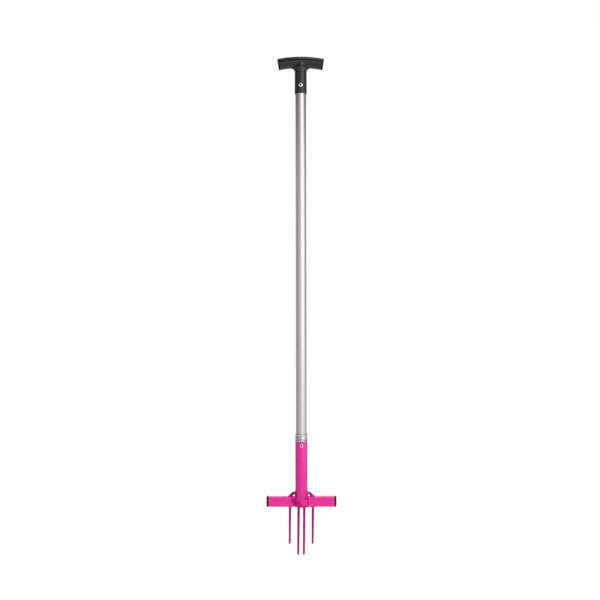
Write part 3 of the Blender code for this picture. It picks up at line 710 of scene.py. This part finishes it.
class WEEDER_OT_grip(bpy.types.Operator):
    """Make the moulded T-grip"""
    bl_idname = "weeder.grip"
    bl_label = "Grip"

    def execute(self, context):
        body = grip_bar()
        combine(body, grip_stem(), "UNION")
        bm = blend_grip(body)
        for side, _ in SIDES:
            centre, along = arch_slice(side)
            plane = bmesh.ops.bisect_plane(bm, geom=bm.verts[:] + bm.edges[:] + bm.faces[:], dist=1e-6,
                                           plane_co=centre, plane_no=along * side, clear_outer=True,
                                           clear_inner=False)
            rim = [edge for edge in plane["geom_cut"] if isinstance(edge, bmesh.types.BMEdge)]
            bmesh.ops.contextual_create(bm, geom=rim)
        body = loose_object("grip", bm)
        bore = bmesh.new()
        ends = (GRIP_LOW.z - 0.01, GRIP_LOW.z + SHAFT_IN_GRIP + GAP)
        sweep(bore, [station(Vector((0, 0, height)), UP, SLEEVE_RADIUS) for height in ends], 96)
        combine(body, loose_object("bore", bore), "DIFFERENCE")
        as_piece("grip", drill(take_mesh(body), ("grip",)), "grip_plastic", ["grip_body"])
        return {"FINISHED"}


class WEEDER_OT_grip_caps(bpy.types.Operator):
    """Make the plugs that close the ends of the grip's bar"""
    bl_idname = "weeder.grip_caps"
    bl_label = "Grip end caps"

    def execute(self, context):
        spigot, spigot_length = 0.0072, 0.0100
        dish, rim_width, groove, groove_depth = 0.0005, 0.0022, 0.0006, 0.0012
        outer = BAR_RADIUS - 0.0001
        profile = [(0.0, -spigot_length), (spigot, -spigot_length), (spigot, 0.0),
                   (outer - groove_depth, 0.0), (outer - groove_depth, groove), (outer, groove),
                   (outer, GRIP_CAP_THICKNESS),
                   (outer - rim_width, GRIP_CAP_THICKNESS),
                   (outer - rim_width - dish, GRIP_CAP_THICKNESS - dish), (0.0, GRIP_CAP_THICKNESS - dish)]
        for side, word in SIDES:
            bm = bmesh.new()
            lathe(bm, round_corners(profile, 0.0009, steps=5), 96)
            centre, along = arch_slice(side)
            bmesh.ops.transform(bm, matrix=station(centre, along * side, 1.0), verts=bm.verts)
            as_piece(f"grip_cap_{word}", bm, "grip_plastic", [f"grip_end_cap_{word}"], look="plug_plastic")
        return {"FINISHED"}


# Rivets

class WEEDER_OT_rivets(bpy.types.Operator):
    """Make the blind rivets with their snapped mandrels"""
    bl_idname = "weeder.rivets"
    bl_label = "Rivets"

    def execute(self, context):
        facing = Matrix.Rotation(math.pi / 2, 4, "X")
        head_height, sunk_depth, crown, dome_steps, rim = 0.0012, 0.0012, 0.0023, 16, 0.0002
        # The bulb that the mandrel swells behind the wall: its radius and where it starts and ends
        bulb, bulb_outer, bulb_full, bulb_inner = 0.0033, 0.0109, 0.0100, 0.0074
        hole = MANDREL_RADIUS + 0.0006
        mandrel_head, head_length = 0.0020, 0.0016
        for place, flange_share, snap_depth in (("grip", 1.0, 0.0006), ("socket", 0.88, 0.0012)):
            low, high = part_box(f"{place}_rivet_body")
            flange = (high.x - low.x) / 2 * flange_share
            face, inner_end = -low.y, -high.y
            seat = face - head_height
            shift = Matrix.Translation((0, 0, (low.z + high.z) / 2)) @ facing
            dome = [(hole, seat), (hole + 0.0003, face - 0.0003)]
            for i in range(dome_steps + 1):
                turn = math.pi / 2 * i / dome_steps
                dome.append((crown + (flange - crown) * math.sin(turn),
                             seat + head_height * math.cos(turn) ** 0.6))
            sunk = seat - sunk_depth
            profile = dome + [(flange - rim, sunk), (RIVET_SHANK_RADIUS, sunk),
                              (RIVET_SHANK_RADIUS, bulb_outer), (bulb, bulb_full), (bulb, bulb_inner),
                              (RIVET_SHANK_RADIUS, inner_end), (hole, inner_end)]
            bm = bmesh.new()
            lathe(bm, profile, 64, closed=True)
            bmesh.ops.transform(bm, matrix=shift, verts=bm.verts)
            as_piece(f"{place}_rivet", bm, "rivet_aluminium", [f"{place}_rivet_body"])

            low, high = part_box(f"{place}_rivet_mandrel")
            tip, head = -low.y, -high.y
            snapped = tip - snap_depth
            # The torn end rises and falls from the middle to the edge
            profile = [(0.0, snapped), (0.0004, snapped + 0.0002), (0.0008, snapped + 0.0001),
                       (0.0010, snapped + 0.0003), (MANDREL_RADIUS, snapped),
                       (MANDREL_RADIUS, head + head_length), (mandrel_head, head + head_length),
                       (mandrel_head, head), (0.0, head)]
            bm = bmesh.new()
            lathe(bm, profile, 32)
            bmesh.ops.transform(bm, matrix=shift, verts=bm.verts)
            as_piece(f"{place}_mandrel", bm, "mandrel_steel", [f"{place}_rivet_mandrel"])
        return {"FINISHED"}


# Foot bar

def square_bar(low_x, high_x, size, corner, segments=8):
    """A square bar along X with rounded long edges, standing on the underside's plane."""
    bm = bmesh.new()
    bmesh.ops.create_cube(bm, size=1.0)
    middle = Vector(((low_x + high_x) / 2, 0, PEG_SIZE / 2))
    bmesh.ops.scale(bm, vec=(high_x - low_x, size, size), verts=bm.verts)
    bmesh.ops.translate(bm, vec=middle, verts=bm.verts)
    long_edges = [edge for edge in bm.edges
                  if abs((edge.verts[0].co - edge.verts[1].co).normalized().x) > 0.9]
    bmesh.ops.bevel(bm, geom=long_edges, offset=corner, offset_type="OFFSET", segments=segments, profile=0.5,
                    affect="EDGES", material=-1, clamp_overlap=True)
    return bm


def mirror_to(bm, side):
    """Moves a bmesh made on the +X side to the asked side."""
    if side < 0:
        bmesh.ops.scale(bm, vec=(-1, 1, 1), verts=bm.verts)
        bmesh.ops.reverse_faces(bm, faces=bm.faces)


class WEEDER_OT_foot_pegs(bpy.types.Operator):
    """Make the hollow square pegs for the foot"""
    bl_idname = "weeder.foot_pegs"
    bl_label = "Foot pegs"

    def execute(self, context):
        for side, word in SIDES:
            body = loose_object("peg", square_bar(PEG_LOW.x, PEG_HIGH.x, PEG_SIZE, PEG_CORNER))
            hollow = square_bar(PEG_LOW.x - 0.01, PEG_HIGH.x + 0.01, PEG_SIZE - 2 * PEG_WALL,
                                PEG_CORNER - PEG_WALL, 3)
            combine(body, loose_object("hollow", hollow), "DIFFERENCE")
            hole = bmesh.new()
            sweep(hole, [station(Vector((OUTER_OFFSET, 0, height)), UP, ROD_RADIUS + GAP)
                         for height in (-PEG_SIZE, 2 * PEG_SIZE)], 48)
            combine(body, loose_object("hole", hole), "DIFFERENCE")
            bm = take_mesh(body)
            mirror_to(bm, side)
            as_piece(f"peg_{word}", bm, "powder_coat", [f"foot_peg_{word}"], edge=0.0003)
        return {"FINISHED"}


class WEEDER_OT_peg_caps(bpy.types.Operator):
    """Make the plugs in the pegs' open ends"""
    bl_idname = "weeder.peg_caps"
    bl_label = "Peg end caps"

    def execute(self, context):
        for side, word in SIDES:
            seam, setback, rim_round, overlap = 0.0002, 0.0002, 0.0016, 0.0010
            start = PEG_HIGH.x + seam
            bm = square_bar(start, PEG_CAP_HIGH.x, PEG_SIZE - setback, PEG_CORNER)
            outer = [edge for edge in bm.edges
                     if all(abs(vert.co.x - PEG_CAP_HIGH.x) < 1e-6 for vert in edge.verts)]
            bmesh.ops.bevel(bm, geom=outer, offset=rim_round, offset_type="OFFSET", segments=6, profile=0.5,
                            affect="EDGES", material=-1, clamp_overlap=True)
            body = loose_object("cap", bm)
            plug = square_bar(PEG_CAP_LOW.x, start + overlap, PEG_SIZE - 2 * PEG_WALL - 2 * GAP,
                              PEG_CORNER - PEG_WALL, 3)
            combine(body, loose_object("plug", plug), "UNION")
            bm = take_mesh(body)
            mirror_to(bm, side)
            as_piece(f"peg_cap_{word}", bm, "cap_plastic", [f"peg_end_cap_{word}"])
        return {"FINISHED"}


# Tines

def tine_radius(from_tip):
    """A tine's radius at a distance from its tip: the blunt point, a long taper, then plain rod."""
    if from_tip < TIP_POINT_LENGTH:
        share = math.sqrt(max(from_tip, 0.0) / TIP_POINT_LENGTH)
        return (TIP_POINT_DIAMETER * (0.35 + 0.65 * share) + (TIP_DIAMETER - TIP_POINT_DIAMETER) * share) / 2
    share = min(1.0, (from_tip - TIP_POINT_LENGTH) / TAPER_LENGTH)
    return TIP_DIAMETER / 2 + (ROD_RADIUS - TIP_DIAMETER / 2) * share


def upright_stations(x, tip, top):
    """Circles up a tine from its tip, close together at the point."""
    point_steps, shank_steps = 8, 48
    heights = [tip + TIP_POINT_LENGTH * (i / point_steps) ** 2 for i in range(point_steps)]
    start = tip + TIP_POINT_LENGTH
    heights += [start + (top - start) * i / shank_steps for i in range(shank_steps + 1)]
    return [station(Vector((x, 0, height)), UP, tine_radius(height - tip)) for height in heights]


def bend(before, corner, after, steps=12):
    """Circles round a bend between two straight runs of rod."""
    into, out = (corner - before).normalized(), (after - corner).normalized()
    angle = into.angle(out)
    normal = (out - into * into.dot(out)).normalized()
    centre = corner - into * BRACE_BEND_RADIUS * math.tan(angle / 2) + normal * BRACE_BEND_RADIUS
    stations = []
    for i in range(steps + 1):
        turn = angle * i / steps
        point = centre + BRACE_BEND_RADIUS * (into * math.sin(turn) - normal * math.cos(turn))
        stations.append(station(point, into * math.cos(turn) + normal * math.sin(turn), ROD_RADIUS))
    return stations


class WEEDER_OT_tines(bpy.types.Operator):
    """Make the forged tines and the braces that the outer ones turn into"""
    bl_idname = "weeder.tines"
    bl_label = "Tines"

    def execute(self, context):
        noise.seed_set(HAND_MARKS)
        foot = Vector((OUTER_OFFSET, 0, 0))
        low = Vector((OUTER_OFFSET, 0, PEG_HIGH.z + BRACE_RISE))
        high = Vector((PEG_LOW.x + BRACE_LEVEL_RUN, 0, BRACE_LEVEL))
        in_wall, in_peg, wander_size = 0.0004, 0.004, 0.012
        end = Vector((SOCKET_RADIUS - in_wall, 0, BRACE_LEVEL))
        for side, word in SIDES:
            bm = bmesh.new()
            stations = upright_stations(OUTER_OFFSET, OUTER_LOW.z, PEG_HIGH.z - in_peg)
            stations += bend(foot, low, high) + bend(low, high, end)
            stations.append(station(end, -ACROSS, ROD_RADIUS))
            sweep(bm, stations, 32)
            mirror_to(bm, side)
            lean_over(bm.verts)
            wander(bm.verts, settings().rod_wander, wander_size)
            as_piece(f"tine_outer_{word}", bm, "powder_coat", [f"outer_tine_{word}"])
            bm = bmesh.new()
            sweep(bm, upright_stations(INNER_OFFSET, INNER_LOW.z, INNER_HIGH.z), 32)
            mirror_to(bm, side)
            lean_over(bm.verts)
            wander(bm.verts, settings().rod_wander, wander_size)
            as_piece(f"tine_inner_{word}", bm, "powder_coat", [f"inner_tine_{word}"])
        return {"FINISHED"}


# Welds

def bead(bm, points, normals, wide, tall, closed=False, bow=0.0008, ripple_depth=0.05, end_run=None):
    """A weld bead along a path: bowed ripples as it was laid, uneven, and thin at its edges and ends."""
    ripple = settings().weld_ripple
    end_run = end_run or wide

    def cross_section(place):
        height = (0.5 + 0.5 * math.cos(math.pi * place.x)) ** 0.8 if place.y > 0 else place.y
        return Vector((place.x, height, bow * (1 - place.x ** 2)))

    run = 0.0
    count = len(points)
    length = sum((b - a).length for a, b in zip(points, points[1:]))
    stations = []
    for i, point in enumerate(points):
        ahead = points[(i + 1) % count] if closed or i < count - 1 else point
        behind = points[i - 1] if closed or i > 0 else point
        if i:
            run += (point - points[i - 1]).length
        spread = 1 + 0.08 * noise.noise(point / 0.006)
        swell = spread - ripple_depth * (1 - abs(math.sin(math.pi * run / ripple)))
        end = 1.0
        if not closed:
            near = min(run, length - run) / end_run
            end = math.sqrt(1 - (1 - min(1.0, near + 0.03)) ** 2)
        stations.append(station(point, ahead - behind, wide * spread * end, tall * swell * end, normals[i]))
    sweep(bm, stations, 36, closed=closed, shape=cross_section)


def smooth_path(corners, steps):
    """Points along a smooth curve through a few chosen corners."""
    points = []
    padded = [corners[0]] + list(corners) + [corners[-1]]
    for i in range(1, len(padded) - 2):
        a, b, c, d = padded[i - 1:i + 3]
        for step in range(steps):
            t = step / steps
            points.append(0.5 * (2 * b + (c - a) * t + (2 * a - 5 * b + 4 * c - d) * t * t
                                 + (3 * b - a - 3 * c + d) * t * t * t))
    points.append(corners[-1])
    return points


def ring_bead(bm, centre, axis, wide_radius, deep_radius, wide, tall, seat=None):
    """A closed bead round a rod. With a seat, it follows the socket's round wall."""
    steps = 144
    side = axis.cross(DEEP).normalized()
    points, normals = [], []
    for i in range(steps):
        turn = math.tau * i / steps
        point = centre + side * wide_radius * math.cos(turn) + DEEP * deep_radius * math.sin(turn)
        if seat:
            point.x = math.sqrt(seat ** 2 - point.y ** 2) + point.x - centre.x
        points.append(point)
        normals.append(axis)
    bead(bm, points, normals, wide, tall, closed=True)


def root_bead(bm, front, hooked):
    """The broad bead that fills the corner between a peg and the socket, narrower where a hook ends it."""
    across, depth = 0.0108 if hooked else 0.0128, 0.0092
    corners = [Vector((across, front * depth, height)) for height in (0.0228, 0.0160, 0.0080, 0.0018)]
    path = smooth_path(corners, 32)
    outwards = Vector((0.25, front * 1.0, 0)).normalized()
    wide, tall = 0.0078 if hooked else 0.0118, 0.0054 if front < 0 else 0.0050
    bead(bm, path, [outwards] * len(path), wide, tall, bow=0.0020, ripple_depth=0.015, end_run=0.0045)


def hook_bead(bm, front):
    """The thin bead down a peg's face that hooks back to the socket."""
    # X, height and distance off the face
    places = ((0.0176, 0.0205, 0.0), (0.0181, 0.0140, 0.0), (0.0180, 0.0080, 0.0),
              (0.0166, 0.0042, 0.0004), (0.0138, 0.0032, 0.0010), (0.0112, 0.0042, 0.0010))
    path = smooth_path([Vector((x, front * (PEG_HIGH.y + off), height)) for x, height, off in places], 24)
    bead(bm, path, [DEEP * front] * len(path), 0.0031, 0.0025 if front < 0 else 0.0018)


def top_bead(bm):
    """The bead on top of a peg, round the socket's wall."""
    radius, sunk = 0.0152, 0.0006
    corners = [Vector((radius * math.cos(turn), radius * math.sin(turn), PEG_HIGH.z - sunk))
               for turn in (-1.05, -0.7, -0.35, 0.0, 0.35, 0.7, 1.05)]
    path = smooth_path(corners, 10)
    normals = [Vector((0.6 * point.x, 0.6 * point.y, point.length)).normalized() for point in path]
    bead(bm, path, normals, 0.0032, 0.0020)


def as_weld(name, bm, side, rough, size, node):
    """Finishes a bead made on the +X side: moved to its side, roughened and coated."""
    mirror_to(bm, side)
    wander(bm.verts, rough, size)
    as_piece(name, bm, "powder_coat", [node])


class WEEDER_OT_welds(bpy.types.Operator):
    """Make the weld beads of the head"""
    bl_idname = "weeder.welds"
    bl_label = "Welds"

    def execute(self, context):
        noise.seed_set(HAND_MARKS)
        # Nearly round rings: how far outside the rod each bead's middle runs
        root_clear, foot_clear, tine_clear = 0.0004, 0.0004, 0.0003
        for side, word in SIDES:
            for front, place in ((-1, "front"), (1, "back")):
                bm = bmesh.new()
                hooked = side * front < 0
                root_bead(bm, front, hooked)
                if hooked:
                    hook_bead(bm, front)
                if front > 0:
                    top_bead(bm)
                as_weld(f"bead_{word}_{place}", bm, side, 0.0003, 0.006, f"peg_weld_{word}_{place}")

            bm = bmesh.new()
            centre = Vector((SOCKET_RADIUS + 0.0006, 0, BRACE_LEVEL))
            ring_bead(bm, centre, ACROSS, ROD_RADIUS + root_clear, ROD_RADIUS + root_clear, 0.0030, 0.0020,
                      SOCKET_RADIUS - 0.0003)
            as_weld(f"bead_brace_{word}", bm, side, 0.0004, 0.004, f"brace_root_weld_{word}")

            # The right one was laid longer, towards the socket
            bm = bmesh.new()
            inwards, spread = (0.0004, 0.0006) if side < 0 else (0.0016, 0.0016)
            centre = Vector((OUTER_OFFSET - inwards, 0, PEG_HIGH.z + 0.0001))
            ring_bead(bm, centre, UP, ROD_RADIUS + spread, ROD_RADIUS + foot_clear, 0.0024, 0.0022)
            as_weld(f"bead_foot_{word}", bm, side, 0.0004, 0.004, f"brace_foot_weld_{word}")

            for place, offset, tall in (("outer", OUTER_OFFSET, 0.0028), ("inner", INNER_OFFSET, 0.0036)):
                bm = bmesh.new()
                centre = Vector((offset, 0, -0.0006))
                ring_bead(bm, centre, -UP, ROD_RADIUS + tine_clear, ROD_RADIUS + tine_clear, 0.0022, tall)
                as_weld(f"bead_{place}_{word}", bm, side, 0.0003, 0.004, f"{place}_tine_weld_{word}")
        return {"FINISHED"}


class WEEDER_OT_hidden_pieces(bpy.types.Operator):
    """Give the solids that stay inside the head their finish"""
    bl_idname = "weeder.hidden_pieces"
    bl_label = "Hidden pieces"

    def execute(self, context):
        for name in ("floor_plate", "floor_plate_weld_left", "floor_plate_weld_right"):
            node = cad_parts[name]
            node.data.materials.clear()
            node.data.materials.append(material_for("powder_coat"))
        return {"FINISHED"}


# Stage

def in_view(tree):
    """One for rays from the camera, mirrored or through glass, and nought for those that carry light."""
    ray = add_node(tree, "ShaderNodeLightPath")
    mirrored = add_node(tree, "ShaderNodeMath", {0: ray.outputs["Is Camera Ray"],
                                                 1: ray.outputs["Is Glossy Ray"]}, operation="MAXIMUM")
    return add_node(tree, "ShaderNodeMath", {0: mirrored.outputs[0], 1: ray.outputs["Is Transmission Ray"]},
                    operation="MAXIMUM").outputs[0]


def floor_material():
    """Matt pale floor, lifted to the white background where it is seen, which keeps its shadow.

    It is clear from below, so that a view from there shows the tool.
    """
    material, tree, output = start_material("white floor")
    matt = add_node(tree, "ShaderNodeBsdfDiffuse", {"Color": (*colour("#D4D4D4"), 1), "Roughness": 0.0})
    glow = add_node(tree, "ShaderNodeEmission", {"Color": (1, 1, 1, 1), "Strength": 0.62})
    lifted = add_node(tree, "ShaderNodeAddShader", {0: matt.outputs[0], 1: glow.outputs[0]})
    seen = add_node(tree, "ShaderNodeMixShader", {0: in_view(tree), 1: matt.outputs[0], 2: lifted.outputs[0]})
    clear = add_node(tree, "ShaderNodeBsdfTransparent")
    facing = add_node(tree, "ShaderNodeNewGeometry")
    both = add_node(tree, "ShaderNodeMixShader", {0: facing.outputs["Backfacing"], 1: seen.outputs[0],
                                                  2: clear.outputs[0]})
    tree.links.new(both.outputs[0], output.inputs["Surface"])
    return material


def light_room(strength):
    """The studio: grey walls with a softbox and a reflector in them, a pale floor and a dim ceiling.

    The camera sees it white, and so do reflections of what lies straight behind the tool.
    """
    world = bpy.data.worlds.new("studio")
    bpy.context.scene.world = world
    world.use_nodes = True
    tree = world.node_tree
    tree.nodes.clear()
    output = tree.nodes.new("ShaderNodeOutputWorld")
    direction = add_node(tree, "ShaderNodeTexCoord").outputs["Generated"]
    parts = add_node(tree, "ShaderNodeSeparateXYZ", {0: direction})
    towards = add_node(tree, "ShaderNodeMath", {0: parts.outputs["Y"], 1: -1.0}, operation="MULTIPLY")
    azimuth = add_node(tree, "ShaderNodeMath", {0: parts.outputs["X"], 1: towards.outputs[0]},
                       operation="ARCTAN2")
    round_room = add_node(tree, "ShaderNodeMapRange", {"Value": azimuth.outputs[0], "From Min": -math.pi,
                                                       "From Max": math.pi})
    # A softbox right of the camera, a reflector behind on the left, and grey walls that fade to the back
    walls = ((-180, "#5C5C5C"), (-140, "#A0A0A0"), (-90, "#787878"), (0, "#B8B8B8"), (22, "#FFFFFF"),
             (40, "#FFFFFF"), (115, "#787878"), (180, "#5C5C5C"))
    # The softbox goes on up past the walls, where the room is dark
    high_walls = ((-180, "#181818"), (-60, "#686868"), (-10, "#989898"), (20, "#FFFFFF"), (45, "#FFFFFF"),
                  (90, "#505050"), (180, "#181818"))
    # The pale floor, lit from the right
    low_walls = ((-180, "#6A6A6A"), (-60, "#989898"), (50, "#CCCCCC"), (180, "#6A6A6A"))
    rise = add_node(tree, "ShaderNodeMapRange", {"Value": parts.outputs["Z"], "From Min": -1.0,
                                                 "From Max": 1.0})
    # From straight down to straight up: the floor, the walls, the ceiling and an opening in it
    levels = ((-1.0, "#C4C4C4"), (-0.50, "#F0F0F0"), (0.0, "#FFFFFF"), (0.30, "#FFFFFF"), (0.60, "#8C8C8C"),
              (0.80, "#909090"), (1.0, "#FFFFFF"))
    greys = []
    for value, edge, stops in ((round_room, 180, walls), (round_room, 180, high_walls),
                               (round_room, 180, low_walls), (rise, 1, levels)):
        node = add_node(tree, "ShaderNodeValToRGB", {0: value.outputs[0]})
        elements = node.color_ramp.elements
        for place, code in stops[1:-1]:
            elements.new((place + edge) / (2 * edge)).color = (*colour(code), 1)
        elements[0].color = (*colour(stops[0][1]), 1)
        elements[-1].color = (*colour(stops[-1][1]), 1)
        greys.append(node.outputs[0])
    ring, high, low, level = greys
    # The height of a direction at which each ring starts to take over, and has done so
    for zone, start, end in ((low, -0.05, -0.24), (high, 0.25, 0.28)):
        share = add_node(tree, "ShaderNodeMapRange", {"Value": parts.outputs["Z"], "From Min": start,
                                                      "From Max": end})
        ring = add_node(tree, "ShaderNodeMix", {"Factor": share.outputs[0], "A": ring, "B": zone},
                        data_type="RGBA").outputs[2]
    lit = add_node(tree, "ShaderNodeMix", {"Factor": 1.0, "A": ring, "B": level}, data_type="RGBA",
                   blend_type="MULTIPLY")
    room = add_node(tree, "ShaderNodeBackground", {"Color": lit.outputs[2], "Strength": strength})
    white = add_node(tree, "ShaderNodeBackground", {"Color": (1, 1, 1, 1), "Strength": 1.0})
    off_front = add_node(tree, "ShaderNodeMath", {0: azimuth.outputs[0]}, operation="ABSOLUTE")
    backdrop_edge, backdrop_full = math.radians(163), math.radians(171)
    behind = add_node(tree, "ShaderNodeMapRange", {"Value": off_front.outputs[0], "From Min": backdrop_edge,
                                                   "From Max": backdrop_full})
    mirrored = add_node(tree, "ShaderNodeMath", {0: in_view(tree), 1: behind.outputs[0]},
                        operation="MULTIPLY")
    ray = add_node(tree, "ShaderNodeLightPath")
    shown = add_node(tree, "ShaderNodeMath", {0: ray.outputs["Is Camera Ray"], 1: mirrored.outputs[0]},
                     operation="MAXIMUM")
    seen = add_node(tree, "ShaderNodeMixShader", {0: shown.outputs[0], 1: room.outputs[0],
                                                  2: white.outputs[0]})
    tree.links.new(seen.outputs[0], output.inputs["Surface"])


def softbox(name, azimuth, elevation, distance, size, power):
    """An oblong lamp that looks at the middle of the tool.

    Reflections leave it out, because the softbox that they show is in the walls.
    """
    lamp = bpy.data.lights.new(name, "AREA")
    lamp.shape = "RECTANGLE"
    lamp.size, lamp.size_y = size
    lamp.energy = power
    thing = bpy.data.objects.new(name, lamp)
    bpy.context.scene.collection.objects.link(thing)
    middle = (CAD_BOX[0] + CAD_BOX[1]) / 2
    turn, rise = math.radians(azimuth), math.radians(elevation)
    away = Vector((math.sin(turn) * math.cos(rise), -math.cos(turn) * math.cos(rise), math.sin(rise)))
    thing.location = middle + away * distance
    thing.rotation_euler = (-away).to_track_quat("-Z", "Y").to_euler()
    thing.visible_glossy = False


class WEEDER_OT_stage(bpy.types.Operator):
    """Make the floor, the lights and the camera"""
    bl_idname = "weeder.stage"
    bl_label = "Stage"

    def execute(self, context):
        stage = context.scene.weeder_stage
        bm = bmesh.new()
        bmesh.ops.create_circle(bm, cap_ends=True, segments=96, radius=FLOOR_RADIUS)
        bmesh.ops.translate(bm, vec=(0, 0, CAD_BOX[0].z - FLOOR_DROP), verts=bm.verts)
        mesh = bpy.data.meshes.new("floor")
        bm.to_mesh(mesh)
        bm.free()
        floor = bpy.data.objects.new("floor", mesh)
        context.scene.collection.objects.link(floor)
        floor.data.materials.append(floor_material())

        light_room(stage.room)
        softbox("key", *KEY_SOFTBOX, stage.key)
        softbox("back", *BACK_SOFTBOX, stage.back)

        lens = bpy.data.cameras.new("camera")
        lens.sensor_width = SENSOR_WIDTH
        lens.lens = FOCAL_PIXELS / PICTURE_SIDE * SENSOR_WIDTH
        camera = bpy.data.objects.new("camera", lens)
        context.scene.collection.objects.link(camera)
        camera.location = CAMERA_PLACE
        camera.rotation_euler = (math.pi / 2, stage.roll, 0)
        context.scene.camera = camera
        context.scene.view_settings.view_transform = "Standard"
        return {"FINISHED"}


class WEEDER_PT_panel(bpy.types.Panel):
    """The weeder's pieces, in the order in which they are made"""
    bl_label = "Weeder"
    bl_idname = "WEEDER_PT_panel"
    bl_space_type = "VIEW_3D"
    bl_region_type = "UI"
    bl_category = "Weeder"

    def draw(self, context):
        for group in ("weeder_finish", "weeder_sizes", "weeder_stage"):
            holder = getattr(context.scene, group)
            box = self.layout.box()
            for name in type(holder).__annotations__:
                box.prop(holder, name)
        for maker in OPERATORS:
            self.layout.operator(maker.bl_idname)


GROUPS = (WeederFinish, WeederSizes, WeederStage)
OPERATORS = (WEEDER_OT_shaft, WEEDER_OT_socket, WEEDER_OT_ferrule, WEEDER_OT_grip, WEEDER_OT_grip_caps,
             WEEDER_OT_rivets, WEEDER_OT_foot_pegs, WEEDER_OT_peg_caps, WEEDER_OT_tines, WEEDER_OT_welds,
             WEEDER_OT_hidden_pieces, WEEDER_OT_stage)


def register():
    for maker in (*GROUPS, *OPERATORS, WEEDER_PT_panel):
        bpy.utils.register_class(maker)
    bpy.types.Scene.weeder_finish = PointerProperty(type=WeederFinish)
    bpy.types.Scene.weeder_sizes = PointerProperty(type=WeederSizes)
    bpy.types.Scene.weeder_stage = PointerProperty(type=WeederStage)


def unregister():
    for name in ("weeder_finish", "weeder_sizes", "weeder_stage"):
        delattr(bpy.types.Scene, name)
    for maker in (WEEDER_PT_panel, *reversed(OPERATORS), *reversed(GROUPS)):
        bpy.utils.unregister_class(maker)


def main():
    register()
    bpy.ops.weeder.shaft()
    bpy.ops.weeder.socket()
    bpy.ops.weeder.ferrule()
    bpy.ops.weeder.grip()
    bpy.ops.weeder.grip_caps()
    bpy.ops.weeder.rivets()
    bpy.ops.weeder.foot_pegs()
    bpy.ops.weeder.peg_caps()
    bpy.ops.weeder.tines()
    bpy.ops.weeder.welds()
    bpy.ops.weeder.hidden_pieces()
    bpy.ops.weeder.stage()


if __name__ == "__main__":
    main()
